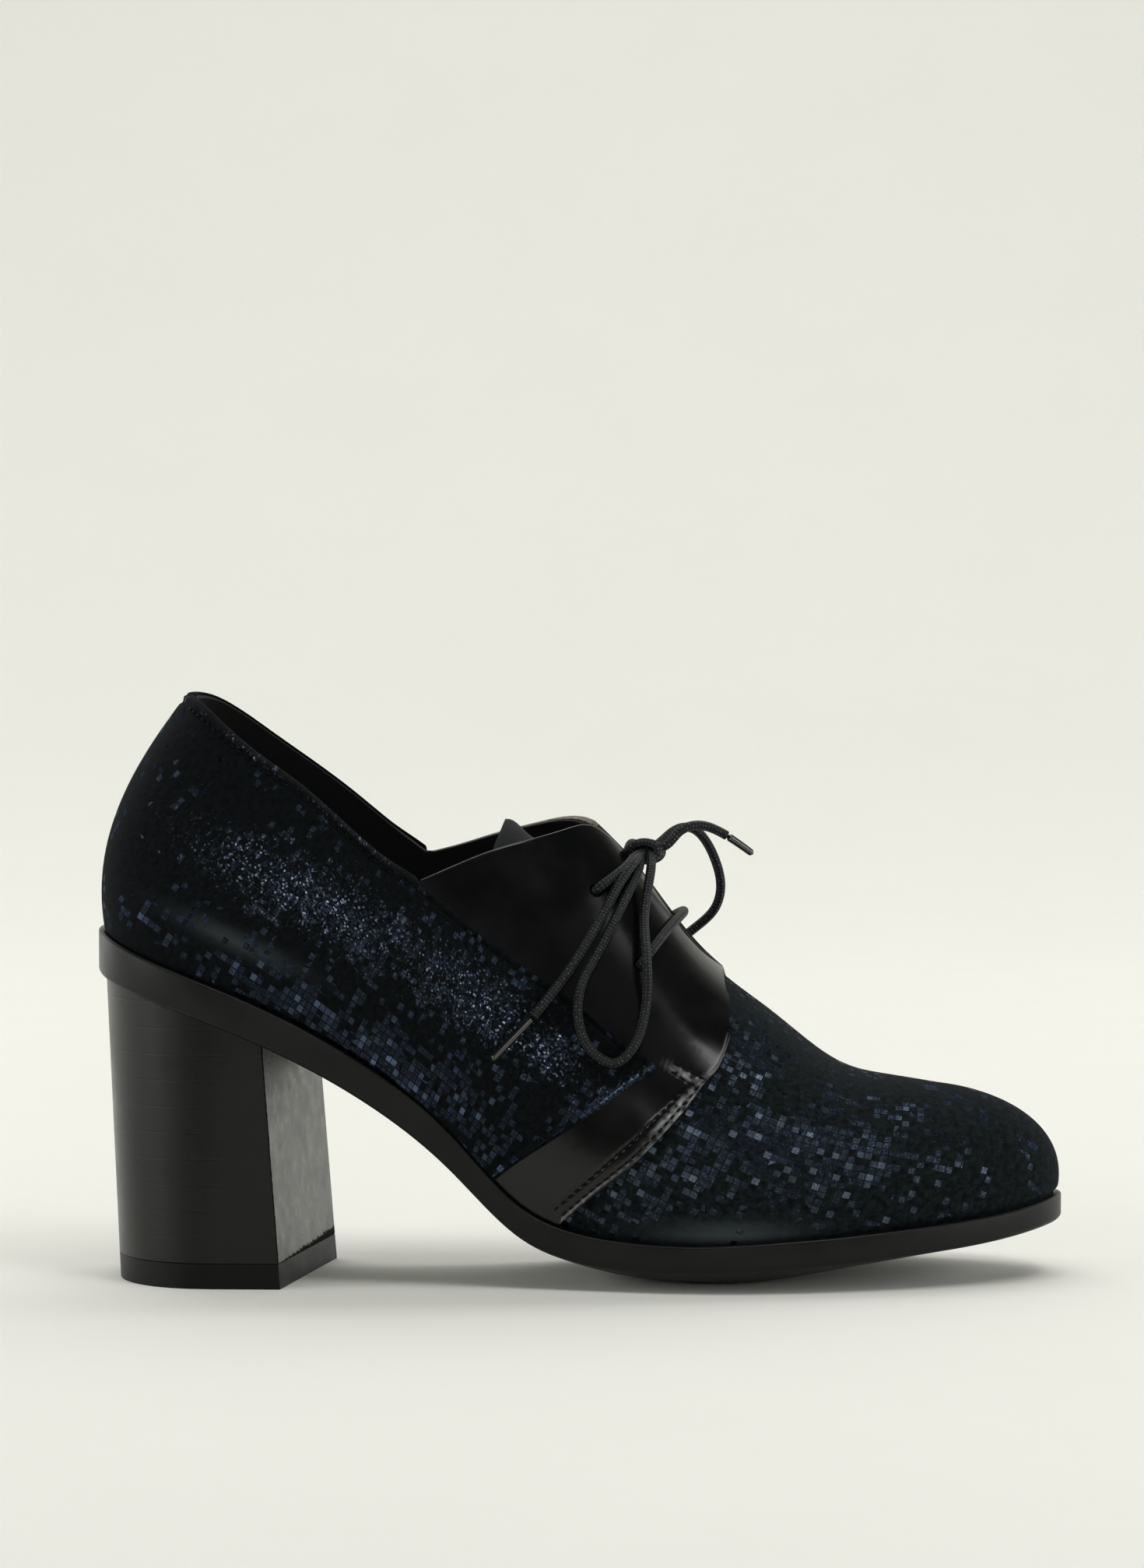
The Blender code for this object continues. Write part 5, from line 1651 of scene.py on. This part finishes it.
    def sew(self, shape: bmesh.types.BMesh, spots: Rows, lifts: float | Row) -> None:
        """Add a row of stitches through places on the upper.

        Args:
            shape: the mesh of thread.
            spots: station and share of each place.
            lifts: distance out from the upper, one or one for each place.
        """
        lifts = np.broadcast_to(lifts, len(spots))
        line = np.array([LAST.points(*spot, lift) for spot, lift in zip(spots, lifts)])
        normals = line - np.array([LAST.points(*spot, lift - 1.0) for spot, lift in zip(spots, lifts)])
        lengths = arc(line)
        size = Matrix.Diagonal((self.stitch_length / 2.0, self.stitch_radius, self.stitch_radius, 1.0))
        for place in np.arange(self.stitch_pitch / 2.0, lengths[-1], self.stitch_pitch):
            spot, ahead, behind = (read_between(place + step * self.stitch_reach, lengths, line)
                                   for step in (0.0, 1.0, -1.0))
            run = (ahead - behind).normalized()
            across = read_between(place, lengths, normals).normalized().cross(run).normalized()
            frame = Matrix((run, across, run.cross(across))).transposed().to_4x4()
            where = Matrix.Translation(Vector(LAST.place(spot)))
            bmesh.ops.create_uvsphere(shape, u_segments=8, v_segments=6, radius=MM,
                                      matrix=where @ frame @ size)

    def beside(self, rows: Rows, distance: float) -> Array:
        """A seam beside an edge seen from the side.

        Args:
            rows: the edge's places along and heights.
            distance: how far below the edge.

        Returns:
            Places along and heights.
        """
        alongs = np.linspace(*self.seam_span, self.seam_steps)
        edge = np.stack((alongs, run_of(rows)(alongs)), -1)
        ways = unit(np.gradient(edge, axis=0))
        return edge + np.stack((ways[:, 1], -ways[:, 0]), -1) * distance

    def build_thread(self, side: Side) -> None:
        """Build every row of stitches on one side.

        Args:
            side: lateral or medial.
        """
        shape = bmesh.new()
        for rows in STITCH_ROWS:
            spots = [LAST.spot(*seen, side) for seen in self.row_line(rows)]
            self.sew(shape, spots, FACING_LIFT - self.trough + self.thread_on_calf)
        sunk = self.trough - self.thread_on_suede
        spots = [LAST.spot(*seen, side) for seen in self.beside(QUARTER_UPPER_ROWS, self.seam_in)]
        self.sew(shape, spots, self.quarter_lift(self.lap_end)[0] - sunk)
        spots, lifts = [], []
        for along in np.linspace(*self.collar_span, self.collar_steps):
            station = LAST.station_at(along, side)
            top = LAST.top_share(station)
            ladder = np.linspace(top - self.collar_depth, top, self.seam_steps)
            lengths = arc(LAST.points(station, ladder))
            spots.append((station, float(np.interp(lengths[-1] - self.seam_in, lengths, ladder))))
            lifts.append(self.quarter_lift(along)[0] - sunk)
        self.sew(shape, spots, lifts)
        add_piece(mesh_of(shape, "thread_" + side.word), [THREAD])


@dataclass
class Lacing:
    """The waxed lace: two crossings through the eyelets and a bow with its hard tips."""

    diameter: float = 2.3
    clearance: float = 0.7
    quarter_lift: float = 1.45
    quarter_margin: float = 5.0
    steep: float = 0.55
    rest_rounds: int = 3
    rest_steps: int = 80
    sides: int = 16
    step: float = 0.8
    hole: float = 1.75
    hole_sides: int = 28
    punch: float = 5.0
    through: Spot = (-3.0, 0.0, 2.0)
    eyelet_lower: Pair = (130.3, 76.2)
    eyelet_upper: Pair = (119.5, 93.4)
    knot: Spot = (131.4, 1.0, 102.2)
    knot_half: Spot = (3.3, 2.6, 2.0)
    knot_lean: Pair = (0.5, -0.3)
    knot_turns: Pair = (-0.25, 2.1)
    knot_rows: int = 60
    knot_step: float = 0.48
    tip_diameter: float = 2.0
    tip_taper: float = 0.12
    tip_round: float = 0.6
    tip_blunt: float = 0.12
    tip_step: float = 0.3
    lower_bar: Rows = ((134.8, -12, 82.6), (138.8, -4.5, 86.2), (140.4, 3.6, 87.4), (138.8, 11, 86.2),
                       (134.8, 18, 82.6))
    bar_lateral: Rows = ((123.2, -10.4, 96.6), (126.4, -7.4, 98.8), (128.4, -4.4, 100.8))
    bar_medial: Rows = ((123, 16, 97.6), (125.8, 9.6, 100.6), (126.6, 5.6, 102.6))
    loop_lateral: Rows = (
        (130.2, -5.8, 100), (127.6, -12, 93.4), (123.8, -16, 85.8), (119.5, -18, 77.9),
        (116.7, -20, 71.8), (116.1, -20, 66.5), (117.6, -20, 60.2), (120.9, -20, 56.1),
        (125, -20, 54.6), (128.5, -20, 57.1), (131, -20, 61.9), (132.2, -20, 68.1),
        (132.4, -26.6, 76.9), (131.8, -21.4, 83.4), (131.6, -14.4, 90), (132.9, -5.6, 99.8))
    knot_lateral: Rows = ((0.2, -0.6, 0.2), (0.9, -0.6, -0.2))
    end_lateral: Rows = (
        (128.8, -10.6, 100.2), (126, -14.6, 96.4), (123.8, -17.4, 92.4), (119.4, -16, 84.6),
        (114.2, -18, 76.3), (108.8, -18, 69.3), (105.6, -18, 65.4))
    tip_lateral: Rows = ((105.4, -18, 65.2), (100.6, -18, 60.2), (95.8, -18, 55.2))
    loop_medial: Rows = (
        (135.4, 4.8, 104.6), (138.6, 7.6, 107), (142.2, 10.5, 107.2), (145.6, 13.5, 104),
        (148.2, 16, 98.4), (149.3, 18, 92.4), (147.8, 20, 86.8), (143.6, 22, 82.4),
        (137, 22, 77), (130, 22, 71), (124, 22, 69), (120.8, 22, 73),
        (122, 20, 82), (125.8, 17, 90.6), (128.8, 11.4, 97), (130.4, 7.6, 100))
    knot_medial: Rows = ((0, -0.4, -0.4), (0, 1.2, -0.4))
    end_medial: Rows = ((136.2, 1.4, 103.6), (139.2, 2.6, 106.6), (142.6, 4.2, 108.2), (146.4, 6, 107.8),
                        (150.8, 7.8, 105.6))
    tip_medial: Rows = ((151.1, 7.9, 105.4), (154.2, 9.2, 103.2), (157.2, 10.4, 100.9))

    def lift_at(self, along: float, up: float) -> float:
        """Lift of a cord's middle over the facing, or over the quarter where that shows.

        Args:
            along: place along the shoe.
            up: height.

        Returns:
            Distance out from the upper.
        """
        lift = self.diameter / 2.0 + FACING_LIFT + self.clearance
        near = along < NOSE_ALONG + self.quarter_margin
        if near and up < float(run_of(QUARTER_UPPER_ROWS)(along)) + self.quarter_margin:
            lift += self.quarter_lift
        return lift

    def rest_on(self, spot: Row) -> Array:
        """Move a cord point out until it lies on the leather.

        Args:
            spot: the point.

        Returns:
            The moved point: sideways beside the shoe, straight out over its crest.
        """
        point = np.array(spot, dtype=float)
        lift = self.lift_at(point[0], point[2])
        crest = LAST.points(LAST.station_at(point[0], Side.LATERAL, 1.0), 1.0)
        side = Side.LATERAL if point[1] < crest[1] else Side.MEDIAL
        station = LAST.station_at(point[0], side)
        share = LAST.share_at_height(station, point[2])
        skin = LAST.points(station, share)
        normal = LAST.points(station, share, 1.0) - skin
        if share < LAST.share_limit and abs(normal[1]) > self.steep:
            outward = skin[1] + lift / normal[1]
            point[1] = min(point[1], outward) if side is Side.LATERAL else max(point[1], outward)
            return point
        shares = np.linspace(0.0, LAST.share_limit, self.rest_steps)
        for _ in range(self.rest_rounds):
            gaps = np.linalg.norm(LAST.points(station, shares)[:, 1:] - point[1:], axis=1)
            share = float(shares[int(np.argmin(gaps))])
            skin = LAST.points(station, share)
            normal = LAST.points(station, share, 1.0) - skin
            point = point + normal * max(lift - float(np.dot(point - skin, normal)), 0.0)
            station = LAST.station_at(point[0], side, share)
        return point

    def rested(self, route: Rows) -> list[Array]:
        """A route with each point moved out onto the leather."""
        return [self.rest_on(spot) for spot in route]

    def add_tube(self, name: str, path: Array, replaced: Sequence[str], radii: Array | None = None,
                 finish: Finish = LACE) -> Piece:
        """Add a round closed tube along a path, with a UV map in millimetres along and around.

        Args:
            name: the piece's name.
            path: points of its middle line.
            replaced: CAD nodes that it stands for.
            radii: its radius at each point, if not the lace's.
            finish: its material.

        Returns:
            The piece.
        """
        radii = np.full(len(path), self.diameter / 2.0) if radii is None else radii
        ways = unit(np.gradient(path, axis=0))
        side = np.cross(ways[0], (0.0, 0.0, 1.0))
        turns = -np.linspace(0.0, math.tau, self.sides + 1)
        rings, flats = [], []
        for way, spot, radius, length in zip(ways, path, radii, arc(path)):
            side = unit(side - way * np.dot(side, way))
            other = np.cross(way, side)
            rings.append(spot + radius * (np.cos(turns)[:, None] * side + np.sin(turns)[:, None] * other))
            flats.append(np.stack((np.full(len(turns), length), -turns * self.diameter / 2.0), -1))
        start, end = (np.repeat(tip, len(turns), 0) for tip in (path[:1], path[-1:]))
        mesh = grid_mesh(name, np.array([start, *rings, end]), np.array([flats[0], *flats, flats[-1]]))
        return add_piece(mesh, [finish], replaced)

    @staticmethod
    def eyelet(seen: Pair, side: Side, lifts: Row) -> list[Array]:
        """Points on the axis of an eyelet, some distances out from the upper."""
        return [LAST.points(*LAST.spot(*seen, side), lift) for lift in lifts]

    def build_bars(self) -> None:
        """Build the crossings between the eyelets."""
        into, away = (self.eyelet(self.eyelet_lower, side, self.through) for side in Side)
        path = smooth_route([*into, *self.rested(self.lower_bar), *away[::-1]], self.step)
        self.add_tube("lace_crossing_lower", path, ["lace_lower_bar"])
        for side, bar in zip(Side, (self.bar_lateral, self.bar_medial)):
            into = self.eyelet(self.eyelet_upper, side, self.through)
            path = smooth_route([*into, *self.rested(bar), self.knot], self.step)
            self.add_tube("lace_crossing_upper_" + side.word, path, ["lace_upper_bar_" + side.word])

    def build_knot(self) -> None:
        """Build the wrap that ties the bow."""
        turns = math.tau * np.linspace(*self.knot_turns, self.knot_rows)
        shares = np.linspace(-1.0, 1.0, self.knot_rows)
        wide, deep, tall = self.knot_half
        path = self.knot + np.stack((wide * np.cos(turns) + self.knot_lean[0] * shares, deep * shares,
                                     tall * np.sin(turns) + self.knot_lean[1] * shares), -1)
        self.add_tube("lace_knot_wrap", smooth_route(path, self.knot_step), ["lace_knot"])

    def build_tip(self, side: Side, route: Rows) -> Piece:
        """A hard tip rolled round the lace's end.

        Args:
            side: which end.
            route: its points.

        Returns:
            The piece.
        """
        path = smooth_route(route, self.tip_step)
        lengths = arc(path)
        left = np.minimum(lengths, lengths[-1] - lengths)
        radii = self.tip_diameter / 2.0 * (1.0 - self.tip_taper * lengths / lengths[-1])
        radii *= np.sqrt(np.clip(left / self.tip_round, self.tip_blunt, 1.0))
        return self.add_tube("lace_tip_" + side.word, path, ["aglet_" + side.word], radii, ACETATE)

    def build_bow(self) -> None:
        """Build the two free strands of the bow, each an end and a loop that meet at the knot."""
        tips = (self.build_tip(Side.MEDIAL, self.tip_medial),
                self.build_tip(Side.LATERAL, self.rested(self.tip_lateral)))
        ends = (self.end_medial, self.rested(self.end_lateral))
        loops = (self.loop_lateral, self.loop_medial)
        knots = (self.knot_lateral, self.knot_medial)
        for side, tip, end, loop, knot in zip(Side, tips, ends, loops, knots):
            enter, leave = np.array(self.knot) + knot
            path = smooth_route([*end[::-1], enter, *self.rested(loop), leave], self.step)
            far = "medial" if side is Side.LATERAL else "lateral"
            piece = self.add_tube("bow_" + side.word, path, ["lace_end_" + far, "lace_loop_" + side.word])

    def cut_eyelets(self, pieces: Sequence[Piece]) -> None:
        """Punch the four eyelets through the leather.

        Args:
            pieces: what is punched.
        """
        shape = bmesh.new()
        for side in Side:
            for seen in (self.eyelet_lower, self.eyelet_upper):
                inner, outer = self.eyelet(seen, side, (-self.punch, self.punch))
                turn = Vector(outer - inner).normalized().to_track_quat("Z", "Y").to_matrix().to_4x4()
                where = Matrix.Translation(Vector(LAST.place((inner + outer) / 2.0)))
                bmesh.ops.create_cone(shape, cap_ends=True, segments=self.hole_sides, matrix=where @ turn,
                                      radius1=self.hole * MM, radius2=self.hole * MM,
                                      depth=2.0 * self.punch * MM)
        mesh = mesh_of(shape, "punch", smooth=False)
        punch = add_object("punch", mesh)
        for piece in pieces:
            hole = piece.modifiers.new("eyelets", "BOOLEAN")
            hole.operation = "DIFFERENCE"
            hole.solver = "EXACT"
            hole.object = punch
            settle(piece)
        bpy.data.objects.remove(punch, do_unlink=True)
        bpy.data.meshes.remove(mesh)


@dataclass(frozen=True)
class SoftBox:
    """One soft box, in metres and watts."""

    name: str
    spot: Spot
    aim: Spot
    size: Pair
    power: float

    def hang(self) -> None:
        """Hang the box, out of the camera's sight."""
        data = bpy.data.lights.new(self.name, "AREA")
        data.shape = "RECTANGLE"
        data.size, data.size_y = self.size
        data.energy = self.power
        lamp = add_object(self.name, data)
        lamp.location = self.spot
        lamp.visible_camera = False
        lamp.rotation_euler = (Vector(self.aim) - Vector(self.spot)).to_track_quat("-Z", "Y").to_euler()


@dataclass
class Studio:
    """The floor, light and camera of the photograph. The paper's sizes are metres."""

    frame_width: float = 1470.0
    frame_height: float = 2014.0
    azimuth: float = 2.0
    pitch: float = 3.75
    distance: float = 1600.0
    scale: float = 5.32
    target: Spot = (116.0, 0.0, 70.0)
    target_pixel: Pair = (747.5, 1264.5)
    sensor: float = 36.0
    clip_end: float = 20.0
    paper_half: float = 4.0
    paper_level: Pair = (-4.0, 0.9)
    paper_bend: float = 0.9
    paper_heights: Row = (1.4, 2.2, 3.2)
    level_steps: int = 40
    bend_steps: int = 24
    room: str = "#f6f6f2"
    room_strength: float = 0.07
    boxes: tuple[SoftBox, ...] = (
        SoftBox("overhead", (0.0, -0.42, 1.7), (0.0, -0.3, 0.0), (1.4, 0.66), 8.0),
        SoftBox("back_box", (0.0, 1.3, 1.8), (0.0, -0.1, 0.05), (2.4, 1.1), 7.0),
        SoftBox("backdrop", (0.0, 0.9, 2.3), (0.0, 1.75, 0.6), (2.6, 0.7), 20.0),
        SoftBox("key", (0.45, -0.52, 1.14), (0.0, 0.0, 0.05), (0.34, 0.34), 2.2),
        SoftBox("front_fill", (0.4, -1.4, 1.08), (0.0, 0.0, 0.05), (1.0, 0.4), 0.15),
        SoftBox("back_low", (0.0, 0.95, 0.55), (0.0, -0.1, 0.0), (1.8, 0.4), 0.7),
        SoftBox("front_strip", (0.0, -1.95, 0.46), (0.0, 0.0, 0.09), (0.8, 0.16), 2.7),
        SoftBox("left_card", (-1.2, -0.75, 0.42), (0.0, -0.1, 0.0), (0.8, 0.6), 3.6),
        SoftBox("right_card", (1.2, -0.75, 0.42), (0.0, -0.1, 0.0), (0.8, 0.6), 2.8),
        SoftBox("left_wall", (-0.85, 0.3, 0.26), (0.0, 0.3, 0.2), (1.6, 0.5), 4.0),
        SoftBox("right_wall", (0.85, 0.3, 0.26), (0.0, 0.3, 0.2), (1.6, 0.5), 4.0),
    )

    def build_camera(self) -> None:
        """Place the camera as the photograph's was."""
        turn, rise = math.radians(self.azimuth), math.radians(self.pitch)
        right = np.array((math.cos(turn), math.sin(turn), 0.0))
        back = np.array((math.sin(turn) * math.cos(rise), -math.cos(turn) * math.cos(rise), math.sin(rise)))
        up = np.cross(back, right)
        aside = (self.target_pixel[0] - self.frame_width / 2.0) / self.scale
        below = (self.target_pixel[1] - self.frame_height / 2.0) / self.scale
        centre = np.array(self.target) + back * self.distance - right * aside + up * below
        data = bpy.data.cameras.new("camera")
        data.sensor_width = self.sensor
        data.lens = self.scale * self.distance * self.sensor / self.frame_height
        data.clip_end = self.clip_end
        camera = add_object("camera", data)
        turned = Matrix(np.stack((right, up, back), -1).tolist()).to_4x4()
        camera.matrix_world = Matrix.Translation(Vector(LAST.place(centre))) @ turned
        bpy.context.scene.camera = camera

    def build_stage(self) -> None:
        """Lay a paper sweep: level under the shoe and curving up far behind it."""
        bend, far = self.paper_bend, self.paper_level[1]
        profile = [(spot, 0.0) for spot in np.linspace(*self.paper_level, self.level_steps)]
        profile += [(far + bend * math.sin(turn), bend - bend * math.cos(turn))
                    for turn in np.linspace(0.0, math.pi / 2.0, self.bend_steps)[1:]]
        profile += [(far + bend, height) for height in self.paper_heights]
        shape = bmesh.new()
        corners = [shape.verts.new((-self.paper_half, spot, height)) for spot, height in profile]
        edges = [shape.edges.new(pair) for pair in zip(corners, corners[1:])]
        made = bmesh.ops.extrude_edge_only(shape, edges=edges)
        moved = [item for item in made["geom"] if isinstance(item, bmesh.types.BMVert)]
        bmesh.ops.translate(shape, verts=moved, vec=(2.0 * self.paper_half, 0.0, 0.0))
        bmesh.ops.recalc_face_normals(shape, faces=shape.faces)
        mesh = mesh_of(shape, "paper_sweep")
        mesh.materials.append(material_of(PAPER))
        sweep = add_object("paper_sweep", mesh)

    def build_light(self) -> None:
        """Hang the soft boxes above and beside the shoe, in a dim room."""
        world = bpy.data.worlds.new("studio")
        world.use_nodes = True
        fill(world.node_tree.nodes["Background"], {"Color": self.room, "Strength": self.room_strength})
        bpy.context.scene.world = world
        bpy.context.scene.view_settings.view_transform = "Standard"
        for box in self.boxes:
            box.hang()


def main() -> None:
    """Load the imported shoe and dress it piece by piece."""
    logging.basicConfig(level=logging.INFO, format="%(name)s %(message)s")
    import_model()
    studio = Studio()
    studio.build_camera()
    lacing = Lacing()
    lacing.build_knot()
    lacing.build_bow()
    lacing.build_bars()
    Bottom().build()
    Heel().build()
    upper = Upper()
    wall = upper.build_wall()
    upper.build_tongue()
    overlays = Overlays()
    facings = [overlays.build_facing(side) for side in Side]
    for side in Side:
        overlays.build_quarter(side)
        overlays.build_thread(side)
    lacing.cut_eyelets([wall, *facings])
    studio.build_stage()
    studio.build_light()


if __name__ == "__main__":
    main()
